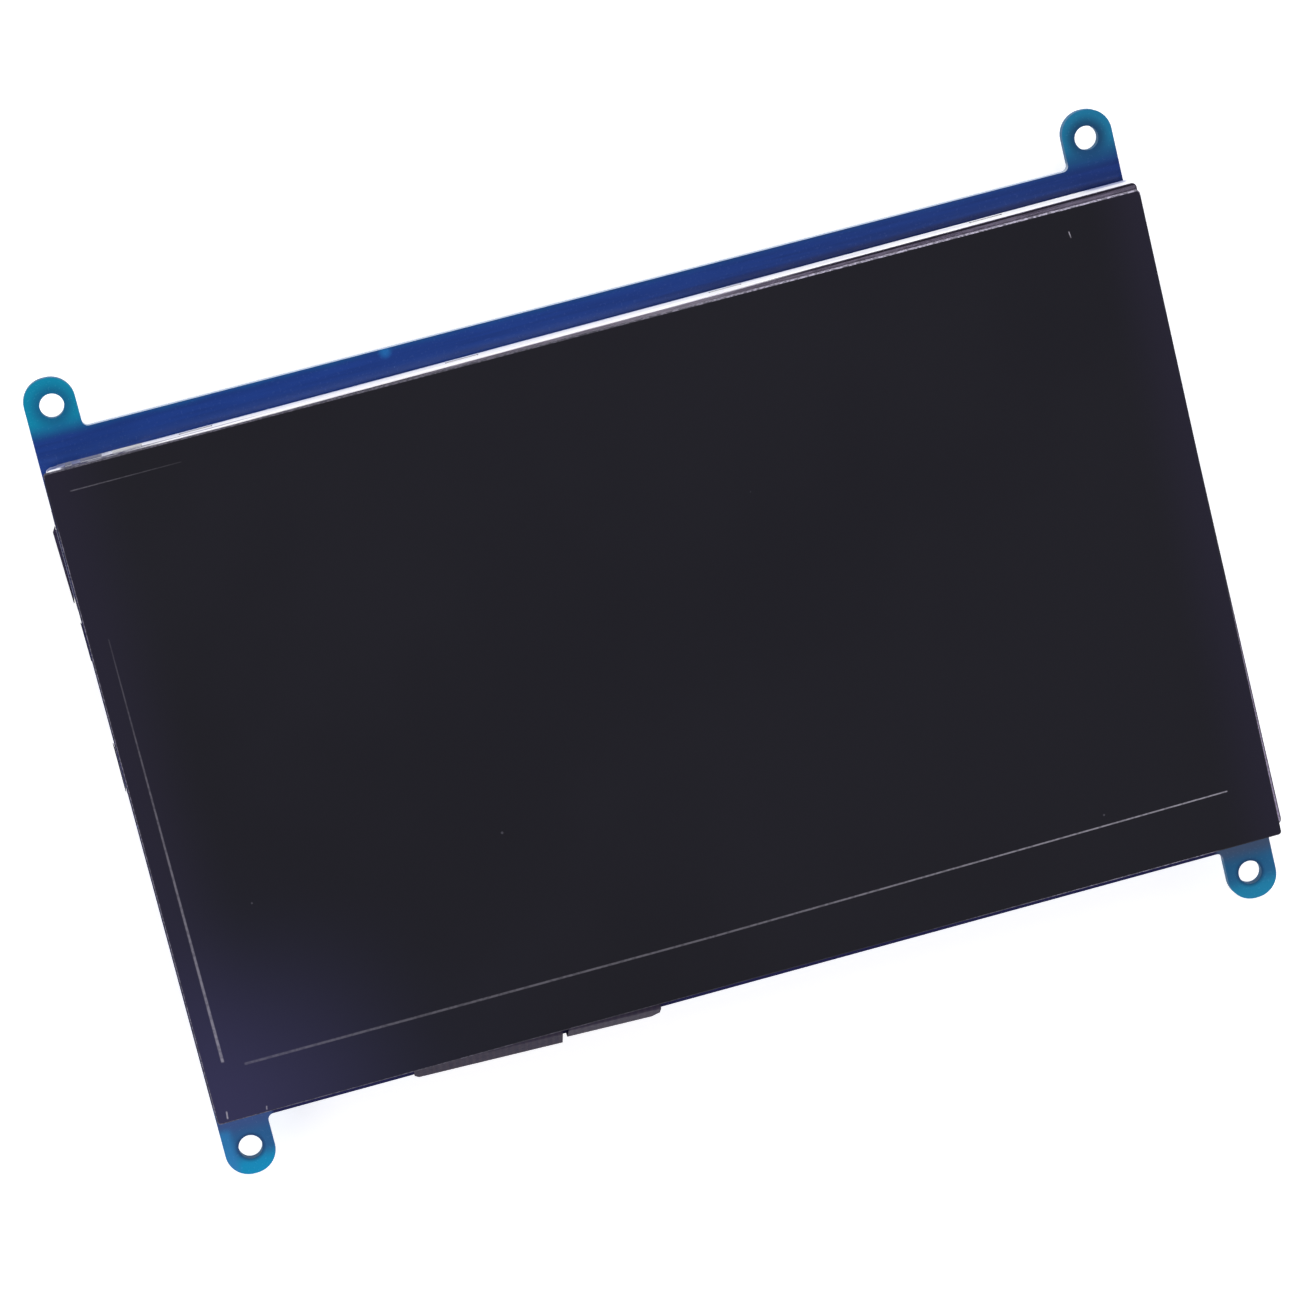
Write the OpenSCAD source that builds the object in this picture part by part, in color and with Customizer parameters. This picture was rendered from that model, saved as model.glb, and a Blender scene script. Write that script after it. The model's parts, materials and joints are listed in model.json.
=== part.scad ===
// Seven inch touch display: cover glass and panel module on a lugged circuit board.
// Millimetres. The origin is the centre of the four lug holes on the back face of the board.
// +X is the viewer's right, +Y the top of the picture and +Z comes out of the screen.

/* [Circuit board] */
// Width of the board
board_w = 164.9; // [164:0.1:166]
// Height of the board between its lugs
board_h = 106.8; // [106:0.1:108]
// Thickness of the board
board_t = 1.6; // [1.4:0.1:2]
// Distance between the lug holes across the board
hole_pitch_x = 156.9; // [156:0.1:157.5]
// Distance between the lug holes up the board
hole_pitch_y = 114.96; // [114.5:0.02:116]
// Diameter of a lug hole
hole_d = 3.6; // [3:0.1:3.7]
// Width of a lug
lug_w = 7.6; // [7:0.1:8]
// Reach of a lug past the centre of its hole
lug_reach = 4.15; // [3.8:0.05:4.4]
// Radius where the inner side of a lug meets the board
lug_fillet = 0.9; // [0.6:0.1:2]

/* [Panel module] */
// Width of the panel module
panel_w = 164.9; // [164.5:0.1:165.5]
// Height of the panel module
panel_h = 100; // [99.5:0.1:100.5]
// Place of the module's centre across the board
panel_x = 1; // [0:0.1:1.2]
// Place of the module's centre up the board
panel_y = -0.45; // [-0.6:0.05:0]
// Turn of the module on the board, as it was stuck down
panel_skew = 0.4; // [0:0.05:0.5]
// Sheet thickness of the bezel and the tray
bezel_sheet = 0.3; // [0.2:0.05:0.4]
// Corner radius of the bezel
bezel_corner = 0.8; // [0.6:0.1:1]
// Radius along the bezel's front edge
bezel_round = 0.2; // [0.1:0.05:0.4]
// Width of the bezel's window
window_w = 160.4; // [159:0.1:160.6]
// Height of the bezel's window
window_h = 88.6; // [87:0.1:89]
// Height of the window's centre above the module's centre
window_lift = 1.7; // [1.4:0.1:1.9]
// Thickness of the foam tape under the module
tape_t = 0.8; // [0.5:0.1:1]
// Thickness of the light guide
guide_t = 1.8; // [1.7:0.1:2.5]
// Thickness of each sheet of cell glass
cell_t = 0.5; // [0.4:0.1:0.7]
// Thickness of a polariser, and of the cushion beside the front one
polariser_t = 0.2; // [0.15:0.05:0.3]

/* [Touch panel] */
// Width of the cover glass
cover_w = 165.2; // [164.5:0.1:165.5]
// Height of the cover glass
cover_h = 100.1; // [99.5:0.05:100.5]
// Thickness of the cover glass
cover_t = 1.1; // [0.7:0.1:1.8]
// Place of the cover's centre across the board
cover_x = 0.38; // [0:0.02:0.6]
// Place of the cover's centre up the board
cover_y = -0.97; // [-1.2:0.01:-0.5]
// Turn of the cover on the board
cover_skew = 0; // [-0.2:0.05:0.2]
// Corner radius of the cover glass
cover_corner = 0.5; // [0.4:0.1:1.5]
// Width of the ground bevel round the cover glass
cover_bevel = 0.15; // [0.1:0.05:0.25]
// Thickness of the touch sensor
sensor_t = 0.4; // [0.3:0.1:0.6]
// Thickness of the adhesive gasket
gasket_t = 0.25; // [0.25:0.05:0.5]

/* [Flex tails] */
// Thickness of a flex tail
tail_t = 0.15; // [0.12:0.01:0.18]
// Left and right side of the panel tail at the fold
panel_tail_span = [-52.2, -29.4];
// Left and right side of the touch tail at the fold
touch_tail_span = [-28.5, -14.3];
// Reach of the panel tail's fold past the board
panel_tail_reach = 1.03; // [0.9:0.01:1.4]
// Reach of the touch tail's fold past the board
touch_tail_reach = 0.96; // [0.8:0.01:1.4]
// Turn of the tails' folds on the board's foot
tail_skew = -1.8; // [-2:0.1:0]
// Contacts of the panel tail
panel_pins = 40; // [30:2:40]
// Contacts of the touch tail
touch_pins = 10; // [6:2:10]

/* [Sockets and switch] */
// Height up the board of the video socket
video_y = 34.3; // [34:0.1:36]
// Reach of the video socket past the board
video_lip = 0.1; // [0:0.05:1]
// Height up the board of the power socket
power_y = 22; // [20:0.1:22.2]
// Height up the board of the data socket
data_y = 2.6; // [0:0.1:6]
// Reach of the data socket past the board
data_lip = 0.05; // [0:0.05:0.6]
// Height up the board of the backlight switch
switch_y = -14; // [-18:0.5:-10]
// Travel of the switch's slider
slider_travel = 2; // [1.5:0.1:2]

/* [Hidden] */
$fn = 64;
lug_tip = hole_pitch_y / 2 + lug_reach;
lug_round = lug_w / 2 - 0.2;
board_left = -board_w / 2;
board_foot = -board_h / 2;

// Heights of the layers, from the board up
film_t = 0.15;
diffuser_t = 0.2;
reflector_t = 0.2;
cell_play = 0.1;
tray_z = board_t + tape_t;
tray_top = tray_z + bezel_sheet;
guide_z = tray_top + reflector_t;
diffuser_z = guide_z + guide_t;
lower_film_z = diffuser_z + diffuser_t;
upper_film_z = lower_film_z + film_t;
rear_polariser_z = upper_film_z + film_t + cell_play;
cell_z = rear_polariser_z + polariser_t;
filter_z = cell_z + cell_t;
front_polariser_z = filter_z + cell_t;
lip_z = front_polariser_z + polariser_t;
bezel_top = lip_z + bezel_sheet;
sensor_z = bezel_top + gasket_t;
cover_z = sensor_z + sensor_t;

// Outlines inside the panel, as [left, bottom, right, top] from the module's centre
sheet_play = 0.05;
frame_box = grown_box(panel_w, panel_h, 0, -bezel_sheet - sheet_play);
window_box = grown_box(window_w, window_h, window_lift, 0);
filter_box = [window_box[0] - 1, window_box[1] - 1.6, window_box[2] + 1, window_box[3] + 1.8];
cell_box = [filter_box[0], filter_box[1] - 4.2, filter_box[2], filter_box[3]];
cell_pocket = widened(cell_box, 0.2);
guide_pocket = [window_box[0] + 0.5, window_box[1] - 2.1, window_box[2] - 0.5, window_box[3] + 1.3];
film_box = widened(guide_pocket, -0.3);
lamp_depth = 2.8;
guide_box = [film_box[0], film_box[1] + lamp_depth, film_box[2], film_box[3]];
lamp_strip_box = [film_box[0], film_box[1], film_box[2], film_box[1] + lamp_depth - 0.2];
rear_polariser_box = widened(guide_pocket, -0.5);
front_polariser_box = widened(window_box, -0.6);
lamp_count = 16;
lamp_size = [3.8, 1, 1.6];
chip_count = 3;
chip_size = [24, 1.3, 0.4];

// Snap windows along the bezel's walls, and the reliefs by its upper left corner
snap_along = [-60, -20, 20, 60];
snap_up = [-25, 25];
snap_w = 5;
snap_z = [tray_top + 0.7, tray_top + 1.7];
relief_slots = [[-79, 1], [-75.6, 3.2], [-70.2, 4.4]];

// Bends and places of the flex tails
tail_pitch = 0.5;
tail_level = 0.7;
front_bend = 1.2;
back_bend = 1.5;
bend_steps = 14;
tail_exit = -50.95;
stiffener_t = 0.15;
stiffener_l = 4;
panel_tail_z = filter_z + tail_t / 2;
touch_tail_z = sensor_z - tail_t / 2;
tail_start = -47.7;
touch_tail_bond = -47.2;
panel_plug_x = -41.5;
touch_plug_x = -21.25;
panel_plug_w = (panel_pins + 1) * tail_pitch;
touch_plug_w = (touch_pins + 1) * tail_pitch;
panel_mouth_y = -46;
touch_mouth_y = -40.5;
plug_depth = 2.6;

// Flip latch sockets for the tails
socket_h = 2;
socket_d = 3.4;
socket_ear = 1.2;
socket_side = 1.7;
slot_depth = 2.9;
slot_h = 0.5;
latch_pivot = [3.85, 1.5];
latch_r = 0.3;
latch_l = 1.5;
latch_play = 0.05;
pin_l = 0.8;
contact_foot = 2;

// Plug sockets: inner half widths above and below with the corner radius, and heights of the outline
video_d = 11.4;
video_wall = 0.45;
video_half = [7, 5.5, 0.6];
video_levels = [0.45, 1.25, 2.4, 5];
video_tongue = [11.1, 1.05, 7.2];
video_block = 2.8;
video_tongue_c = 2.4;
video_back = 0.5;
small_d = 5;
small_wall = 0.3;
small_half = [3.45, 2.7, 0.3];
small_levels = [0.3, 0.55, 1.1, 2.15];
small_tongue = [3.7, 0.6, 3.2];
small_block = 1;
small_tongue_c = 1.3;
small_back = 0.4;
leg_reach = board_t - 0.3;
leg_slot_play = 0.3;

// Backlight switch
switch_size = [2.7, 6.7, 1.4];
switch_wall = 0.2;
switch_base_t = 0.45;
switch_front = board_left + 1.55;
slider_size = [1.8, 3, 0.6];
knob_size = [1.3, 0.5];

function grown_box(w, h, lift, grow) =
    [-w / 2 - grow, lift - h / 2 - grow, w / 2 + grow, lift + h / 2 + grow];
function widened(box, by) = [box[0] - by, box[1] - by, box[2] + by, box[3] + by];

// Shared shapes

module rounded_rect(w, h, r) {
    square([w - 2 * r, h], center = true);
    square([w, h - 2 * r], center = true);
    for (x = [-1, 1], y = [-1, 1])
        translate([x * (w / 2 - r), y * (h / 2 - r)]) circle(r);
}

module oval(l, w) {
    square([l - w, w], center = true);
    for (x = [-1, 1]) translate([x * (l - w) / 2, 0]) circle(w / 2);
}

module sheet(box, z, t) {
    translate([box[0], box[1], z]) cube([box[2] - box[0], box[3] - box[1], t]);
}

module slab(w, h, z, t) {
    translate([-w / 2, -h / 2, z]) cube([w, h, t]);
}

module in_panel() {
    translate([panel_x, panel_y, 0]) rotate(panel_skew) children();
}

module on_cover() {
    translate([cover_x, cover_y, 0]) rotate(cover_skew) children();
}

// Places a piece on the back of the board, with its own +Z pointing away from the board
module on_back(x, y, turn = 0) {
    translate([x, y, 0]) mirror([0, 0, 1]) rotate(turn) children();
}

// A moulded package whose upper and lower halves taper away from the parting line
module moulded_body(w, d, z, h, draft) {
    translate([0, 0, z]) intersection() {
        rotate([90, 0, 0]) linear_extrude(d, center = true) drafted_side(w, h, draft);
        rotate([90, 0, 90]) linear_extrude(w, center = true) drafted_side(d, h, draft);
    }
}

module drafted_side(w, h, draft) {
    polygon([
        [-w / 2 + draft, 0], [w / 2 - draft, 0], [w / 2, h / 2],
        [w / 2 - draft, h], [-w / 2 + draft, h], [-w / 2, h / 2]
    ]);
}

// One bent lead that leaves a package at +X and stands on the board
module gull_lead(exit_z, reach, w, t) {
    foot = reach * 0.55;
    rotate([90, 0, 0]) translate([0, 0, -w / 2]) linear_extrude(w) polygon([
        [-0.3, exit_z], [reach - foot, exit_z], [reach - foot + t, t], [reach, t],
        [reach, 0], [reach - foot, 0], [reach - foot - t, exit_z - t], [-0.3, exit_z - t]
    ]);
}

module lead_row(count, pitch, x, exit_z, reach, w, t) {
    for (i = [0 : count - 1])
        translate([x, (i - (count - 1) / 2) * pitch, 0]) gull_lead(exit_z, reach, w, t);
}

// A flat package with leads on all four sides
module quad_package(body, h, per_side, pitch) {
    difference() {
        moulded_body(body, body, 0.1, h, 0.1);
        translate([-body / 2 + 1.2, body / 2 - 1.2, h]) cylinder(r = 0.4, h = 1);
    }
    for (turn = [0 : 90 : 270])
        rotate(turn) lead_row(per_side, pitch, body / 2 - 0.05, 0.1 + h / 2 + 0.08, 1, pitch * 0.45, 0.15);
}

// A flat package with leads on two sides
module dual_package(w, d, h, per_side, pitch, reach) {
    difference() {
        moulded_body(w, d, 0.1, h, 0.1);
        translate([-w / 2 + 0.7, d / 2 - 0.7, h]) cylinder(r = 0.3, h = 1);
    }
    for (turn = [0, 180])
        rotate(turn) lead_row(per_side, pitch, w / 2 - 0.05, 0.1 + h / 2 + 0.1, reach, pitch * 0.33, 0.2);
}

// Circuit board

module board_outline() {
    square([board_w, board_h], center = true);
    for (x = [-1, 1], y = [-1, 1]) {
        lug_l = 2 * (lug_tip - board_h / 2) + lug_w;
        translate([x * (board_w - lug_w) / 2, y * (lug_tip - lug_l / 2)])
            rounded_rect(lug_w, lug_l, lug_round);
        translate([x * (board_w / 2 - lug_w), y * board_h / 2]) root_fillet(-x, y);
    }
}

// Fills the inner corner between a lug and the board
module root_fillet(x, y) {
    root = 0.5;
    difference() {
        translate([x * (lug_fillet - root) / 2, y * (lug_fillet - root) / 2])
            square(lug_fillet + root, center = true);
        translate([x * lug_fillet, y * lug_fillet]) circle(lug_fillet);
    }
}

module circuit_board() {
    color("royalblue") difference() {
        linear_extrude(board_t) board_outline();
        for (x = [-1, 1], y = [-1, 1])
            translate([x * hole_pitch_x / 2, y * hole_pitch_y / 2, -1])
                cylinder(d = hole_d, h = board_t + 2);
        translate([board_left - video_lip, video_y, -1])
            leg_slots(video_leg_a(), video_half[0] + video_wall / 2);
        translate([board_left, power_y, -1])
            leg_slots(small_leg_a(), small_half[0] + small_wall / 2);
        translate([board_left - data_lip, data_y, -1])
            leg_slots(small_leg_a(), small_half[0] + small_wall / 2);
    }
}

function video_leg_a() = [3.6, 9.4];
function small_leg_a() = [3];
leg_w = 1.4;

module leg_slots(along, side) {
    for (a = along, b = [-1, 1]) translate([a, b * side, 0])
        linear_extrude(board_t + 2) oval(leg_w + 2 * leg_slot_play, video_wall + 2 * leg_slot_play);
}

// Panel module

module mounting_tape() {
    strip = [150, 10];
    color("gainsboro") in_panel() for (y = [-1, 0, 1])
        translate([0, y * (panel_h / 2 - 9), 0]) slab(strip[0], strip[1], board_t, tape_t);
}

module rear_tray() {
    stamp = [60, 34];
    color("silver") in_panel() difference() {
        sheet(frame_box, tray_z, bezel_sheet);
        for (x = [-1, 1]) translate([x * 38, 3, tray_z - 1]) linear_extrude(1 + bezel_sheet / 3)
            difference() {
                rounded_rect(stamp[0], stamp[1], 4);
                rounded_rect(stamp[0] - 3, stamp[1] - 3, 2.5);
            }
    }
}

module panel_frame() {
    color("whitesmoke") in_panel() difference() {
        union() {
            sheet(frame_box, tray_top, lip_z - tray_top);
            snaps(snap_w - 0.4, 0.1, frame_box, bezel_sheet);
        }
        sheet(guide_pocket, tray_top - 1, lip_z);
        sheet(cell_pocket, cell_z, lip_z);
        tail_gap(0.8, cell_z);
    }
}

// Blocks in the bezel's snap windows: the windows' cutters, or the frame's hooks
module snaps(w, inset, box, t) {
    h = snap_z[1] - snap_z[0] - 2 * inset;
    mid_z = (snap_z[0] + snap_z[1]) / 2;
    for (x = snap_along, y = [box[1] - t / 2, box[3] + t / 2])
        translate([x, y, mid_z]) cube([w, t + 0.02, h], center = true);
    for (y = snap_up, x = [box[0] - t / 2, box[2] + t / 2])
        translate([x, y, mid_z]) cube([t + 0.02, w, h], center = true);
}

// The way out for the panel tail through the lower wall
module tail_gap(side, z) {
    rotate(-panel_skew) translate([-panel_x, -panel_y, 0])
        translate([panel_tail_span[0] - side, -panel_h, z])
            cube([panel_tail_span[1] - panel_tail_span[0] + 2 * side, panel_h / 2 + 2, lip_z]);
}

module reflector_film() {
    color("white") in_panel() sheet(guide_box, tray_top, reflector_t);
}

module light_guide() {
    color("azure", 0.6) in_panel() sheet(guide_box, guide_z, guide_t);
}

module lamp_strip() {
    color("ivory") in_panel() sheet(lamp_strip_box, tray_top, film_t);
}

module backlight_lamps() {
    step = (lamp_strip_box[2] - lamp_strip_box[0]) / lamp_count;
    color("khaki") in_panel() for (i = [0 : lamp_count - 1])
        translate([lamp_strip_box[0] + (i + 0.5) * step, lamp_strip_box[3] - lamp_size[1] / 2 - 0.1, 0]) {
            slab(lamp_size[0], lamp_size[1], tray_top + film_t, lamp_size[2]);
        }
}

module diffuser_film() {
    color("white") in_panel() sheet(film_box, diffuser_z, diffuser_t);
}

module lower_prism_film() {
    color("lavender") in_panel() sheet(film_box, lower_film_z, film_t);
}

module upper_prism_film() {
    color("lavender") in_panel() sheet(film_box, upper_film_z, film_t);
}

module rear_polariser() {
    color("dimgray") in_panel() sheet(rear_polariser_box, rear_polariser_z, polariser_t);
}

module cell_glass() {
    color("slategray") in_panel() sheet(cell_box, cell_z, cell_t);
}

module filter_glass() {
    color("darkslategray") in_panel() sheet(filter_box, filter_z, cell_t);
}

module driver_chips() {
    step = (cell_box[2] - cell_box[0]) / chip_count;
    color("gray") in_panel() for (i = [0 : chip_count - 1])
        translate([cell_box[0] + (i + 0.5) * step, filter_box[1] - 1.4, 0])
            slab(chip_size[0], chip_size[1], filter_z, chip_size[2]);
}

module front_polariser() {
    color("black") in_panel() sheet(front_polariser_box, front_polariser_z, polariser_t);
}

module cell_cushion() {
    color("black") in_panel() difference() {
        sheet(filter_box, front_polariser_z, polariser_t);
        sheet(widened(window_box, 0.3), front_polariser_z - 1, polariser_t + 2);
    }
}

// Pressed frame with a rounded front edge, snap windows and a way out for the panel tail
module front_bezel() {
    inner = widened(frame_box, sheet_play);
    color("silver") in_panel() difference() {
        hull() {
            bezel_layer(0, bezel_top - bezel_round);
            bezel_layer(0.3 * bezel_round, bezel_top - 0.3 * bezel_round);
            bezel_layer(bezel_round, bezel_top);
        }
        sheet(inner, tray_z - 1, lip_z - tray_z + 1);
        sheet(window_box, lip_z - 1, 3);
        snaps(snap_w, 0, inner, bezel_sheet * 2);
        intersection() {
            tail_gap(0.5, cell_z);
            translate([-panel_w, -panel_h, cell_z]) cube([2 * panel_w, panel_h, lip_z - cell_z]);
        }
        for (slot = relief_slots)
            translate([slot[0] - slot[1] / 2, panel_h / 2 - 1, tray_z - 1])
                cube([slot[1], 2, lip_z - tray_z]);
    }
}

module bezel_layer(inset, top) {
    translate([0, 0, tray_z]) linear_extrude(top - tray_z)
        rounded_rect(panel_w - 2 * inset, panel_h - 2 * inset, bezel_corner - inset, $fn = 32);
}

// Touch panel

module touch_gasket() {
    outer = [window_box[0] - 0.8, -panel_h / 2 + 1.4, window_box[2] + 0.8, panel_h / 2 - 2.2];
    color("dimgray") difference() {
        in_panel() difference() {
            sheet(outer, bezel_top, gasket_t);
            sheet(widened(window_box, 0.2), bezel_top - 1, gasket_t + 2);
        }
        translate([touch_tail_span[0] - 0.5, -panel_h, bezel_top - 1])
            cube([
                touch_tail_span[1] - touch_tail_span[0] + 1, panel_h + touch_tail_bond + 0.4, gasket_t + 2
            ]);
    }
}

module touch_sensor() {
    margin = 0.9;
    color("darkslategray") on_cover()
        slab(cover_w - 2 * margin, cover_h - 2 * margin, sensor_z, sensor_t);
}

module cover_glass() {
    color([0.1, 0.1, 0.12]) on_cover() hull() {
        cover_layer(cover_bevel, cover_z, cover_t);
        cover_layer(0, cover_z + cover_bevel, cover_t - 2 * cover_bevel);
    }
}

module cover_layer(inset, z, t) {
    translate([0, 0, z]) linear_extrude(t)
        rounded_rect(cover_w - 2 * inset, cover_h - 2 * inset, cover_corner - inset, $fn = 32);
}

// Flex tails

// Section of a tail: out of the front, over a bend, slanting down past the board's foot and round to the back
module tail_section(start_y, front_z, fold_y) {
    upper = [tail_exit, front_z - front_bend];
    lower = [fold_y + back_bend, back_bend - tail_level];
    apart = upper - lower;
    slant = acos((back_bend - front_bend) / norm(apart)) - atan2(apart[0], apart[1]);
    function side(grow) = concat(
        [[start_y, front_z + grow]],
        bend(upper, front_bend + grow, 90, 90 + slant),
        bend(lower, back_bend + grow, 90 + slant, 270)
    );
    inner = side(-tail_t / 2);
    polygon(concat(side(tail_t / 2), [for (i = [len(inner) - 1 : -1 : 0]) inner[i]]));
}

function bend(middle, r, from, to) = [
    for (i = [0 : bend_steps]) let (turn = from + (to - from) * i / bend_steps)
        middle + r * [cos(turn), sin(turn)]
];

function turned(point, about) = about + [
    (point[0] - about[0]) * cos(tail_skew) - (point[1] - about[1]) * sin(tail_skew),
    (point[0] - about[0]) * sin(tail_skew) + (point[1] - about[1]) * cos(tail_skew)
];

// A tail's fold, turned a little, with one outer corner cut back, and its flat run to the plug
module flex_tail(span, start_y, front_z, reach, cut_side, corner, run, plug_x, plug_w, plug_y) {
    fold_y = board_foot - reach;
    run_y = fold_y + back_bend;
    cut_x = cut_side < 0 ? span[0] : span[1];
    middle = [(span[0] + span[1]) / 2, board_foot];
    translate(middle) rotate(tail_skew) translate(-middle) difference() {
        translate([span[0], 0, 0]) rotate([90, 0, 90]) linear_extrude(span[1] - span[0])
            tail_section(start_y, front_z, fold_y);
        translate([0, 0, -5]) linear_extrude(20) polygon([
            [cut_x + cut_side, fold_y + corner[1]], [cut_x, fold_y + corner[1]],
            [cut_x - cut_side * corner[0], fold_y - 0.1], [cut_x - cut_side * corner[0], fold_y - 1],
            [cut_x + cut_side, fold_y - 1]
        ]);
    }
    translate([0, 0, -tail_level - tail_t / 2]) linear_extrude(tail_t) polygon([
        turned([span[0], run_y], middle), [span[0], run[0]],
        [plug_x - plug_w / 2, run[1]], [plug_x - plug_w / 2, plug_y],
        [plug_x + plug_w / 2, plug_y], [plug_x + plug_w / 2, run[1]],
        [span[1], run[0]], turned([span[1], run_y], middle)
    ]);
    translate([plug_x - plug_w / 2, plug_y - stiffener_l, -tail_level + tail_t / 2])
        cube([plug_w, stiffener_l, stiffener_t]);
}

module panel_flex() {
    color([0.26, 0.24, 0.3]) flex_tail(
        panel_tail_span, tail_start, panel_tail_z, panel_tail_reach, -1, [0.8, 0.7],
        [-51.6, -50.4], panel_plug_x, panel_plug_w, panel_mouth_y + plug_depth
    );
}

module touch_flex() {
    color([0.26, 0.24, 0.3]) flex_tail(
        touch_tail_span, touch_tail_bond, touch_tail_z, touch_tail_reach, 1, [1.3, 0.9],
        [-46.4, -44.4], touch_plug_x, touch_plug_w, touch_mouth_y + plug_depth
    );
}

module touch_chip() {
    size = [5, 5, 0.75];
    color([0.15, 0.15, 0.16]) on_back(touch_plug_x, -49.5) difference() {
        slab(size[0], size[1], tail_level + tail_t / 2, size[2]);
        translate([-1.9, 1.9, tail_level + tail_t / 2 + size[2] - 0.05]) cylinder(r = 0.25, h = 1);
    }
}

// Sockets for the tails. Local Y runs from the mouth inwards.

module tail_socket(pins) {
    w = (pins - 1) * tail_pitch + 2 * socket_side + 2 * socket_ear;
    slot_w = (pins + 1) * tail_pitch + 0.2;
    difference() {
        union() {
            translate([-w / 2, 0, 0]) cube([w, socket_d, socket_h]);
            for (x = [-w / 2, w / 2 - socket_ear])
                translate([x, socket_d - 0.5, 0]) cube([socket_ear, 1.7, socket_h]);
        }
        translate([-slot_w / 2, -1, tail_level - slot_h / 2]) cube([slot_w, 1 + slot_depth, slot_h]);
        for (x = [-1, 1]) translate([x * (w / 2 - socket_ear), latch_pivot[0], latch_pivot[1]])
            rotate([0, x * 90, 0]) translate([0, 0, -1])
                cylinder(r = latch_r + latch_play, h = 1 + pin_l + latch_play);
        for (i = [0 : pins - 1]) translate([(i - (pins - 1) / 2) * tail_pitch - 0.12, 0.5, socket_h - 0.4])
            cube([0.24, socket_d - 1, 1]);
    }
}

// Flap with round pivots at its ends, lying shut
module tail_latch(pins) {
    w = (pins - 1) * tail_pitch + 2 * socket_side - 2 * latch_play;
    translate([0, latch_pivot[0], latch_pivot[1]]) {
        rotate([90, 0, 90]) translate([0, 0, -w / 2]) linear_extrude(w) {
            circle(latch_r);
            translate([0, -latch_r]) square([latch_l - latch_r, 2 * latch_r]);
            translate([latch_l - latch_r, 0]) circle(latch_r);
        }
        rotate([0, 90, 0]) cylinder(r = latch_r, h = w + 2 * pin_l, center = true);
    }
}

module tail_contacts(pins) {
    w = (pins - 1) * tail_pitch + 2 * socket_side + 2 * socket_ear;
    for (i = [0 : pins - 1]) translate([(i - (pins - 1) / 2) * tail_pitch - 0.1, socket_d, 0])
        cube([0.2, contact_foot, 0.15]);
    for (x = [-w / 2 - 0.25, w / 2]) translate([x, 0.6, 0]) cube([0.25, 2.2, 1.1]);
}

module panel_socket() {
    color("ivory") on_back(panel_plug_x, panel_mouth_y) tail_socket(panel_pins);
}

module panel_latch() {
    color([0.2, 0.17, 0.15]) on_back(panel_plug_x, panel_mouth_y) tail_latch(panel_pins);
}

module panel_contacts() {
    color("gold") on_back(panel_plug_x, panel_mouth_y) tail_contacts(panel_pins);
}

module touch_socket() {
    color("ivory") on_back(touch_plug_x, touch_mouth_y) tail_socket(touch_pins);
}

module touch_latch() {
    color([0.2, 0.17, 0.15]) on_back(touch_plug_x, touch_mouth_y) tail_latch(touch_pins);
}

module touch_contacts() {
    color("gold") on_back(touch_plug_x, touch_mouth_y) tail_contacts(touch_pins);
}

// Plug sockets at the left edge. Local X runs from the mouth inwards, Y across and Z away from the board.

module socket_outline(half, levels, grow) {
    corner = half[2] + grow;
    offset(r = corner, $fn = 32) offset(delta = -corner) polygon([
        [-half[0] - grow, levels[3] + grow], [-half[0] - grow, levels[2] - grow * 0.4],
        [-half[1] - grow, levels[1] - grow * 0.4], [-half[1] - grow, levels[0] - grow],
        [half[1] + grow, levels[0] - grow], [half[1] + grow, levels[1] - grow * 0.4],
        [half[0] + grow, levels[2] - grow * 0.4], [half[0] + grow, levels[3] + grow]
    ]);
}

module along_socket(l) {
    rotate([90, 0, 90]) linear_extrude(l) children();
}

// Folded shell with flared lips, spring cuts in its top and legs through the board
module plug_shell(half, levels, wall, depth, legs, spring, lip) {
    difference() {
        along_socket(depth) socket_outline(half, levels, wall);
        translate([-1, 0, 0]) along_socket(depth + 2) socket_outline(half, levels, 0);
        for (side = [-1, 1]) translate([spring[0], side * half[0] / 2, levels[3] - 0.1])
            spring_cut(spring[1], spring[2], wall + 0.4);
    }
    for (side = [-1, 1]) {
        for (a = legs) translate([a - leg_w / 2, side * (half[0] + wall / 2) - wall / 2, -leg_reach])
            cube([leg_w, wall, leg_reach + levels[2] + 0.3]);
        translate([0.1, side * (half[0] + wall / 2), (levels[2] + levels[3]) / 2]) rotate([0, 0, -side * 25])
            translate([-lip / 2, 0, 0]) cube([lip, wall * 0.7, (levels[3] - levels[2]) * 0.7], center = true);
    }
    translate([0.1, 0, levels[3] + wall / 2]) rotate([0, 25, 0])
        translate([-lip / 2, 0, 0]) cube([lip, half[0] * 1.5, wall * 0.7], center = true);
}

// Three-sided cut that leaves a spring tongue in a wall
module spring_cut(l, w, t) {
    gap = 0.25;
    for (side = [-1, 1]) translate([0, side * w / 2 - gap / 2, 0]) cube([l, gap, t]);
    translate([0, -w / 2, 0]) cube([gap, w, t]);
}

// Insulator that closes the shell's back and carries the tongue
module plug_tongue(half, levels, depth, block, tongue, tongue_c, back) {
    start = depth - block - tongue[2];
    translate([depth - block, 0, 0]) along_socket(block) socket_outline(half, levels, 0);
    translate([start, -tongue[0] / 2, tongue_c]) cube([tongue[2] + 0.5, tongue[0], tongue[1]]);
    translate([depth, -half[0] - 0.2, 0]) cube([back, 2 * half[0] + 0.4, levels[3] + 0.1]);
}

// Contact strips on one face of a tongue
module tongue_strips(count, pitch, shift, start, z, l, w, t) {
    for (i = [0 : count - 1])
        translate([start, (i - (count - 1) / 2) * pitch + shift - w / 2, z]) cube([l, w, t]);
}

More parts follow.
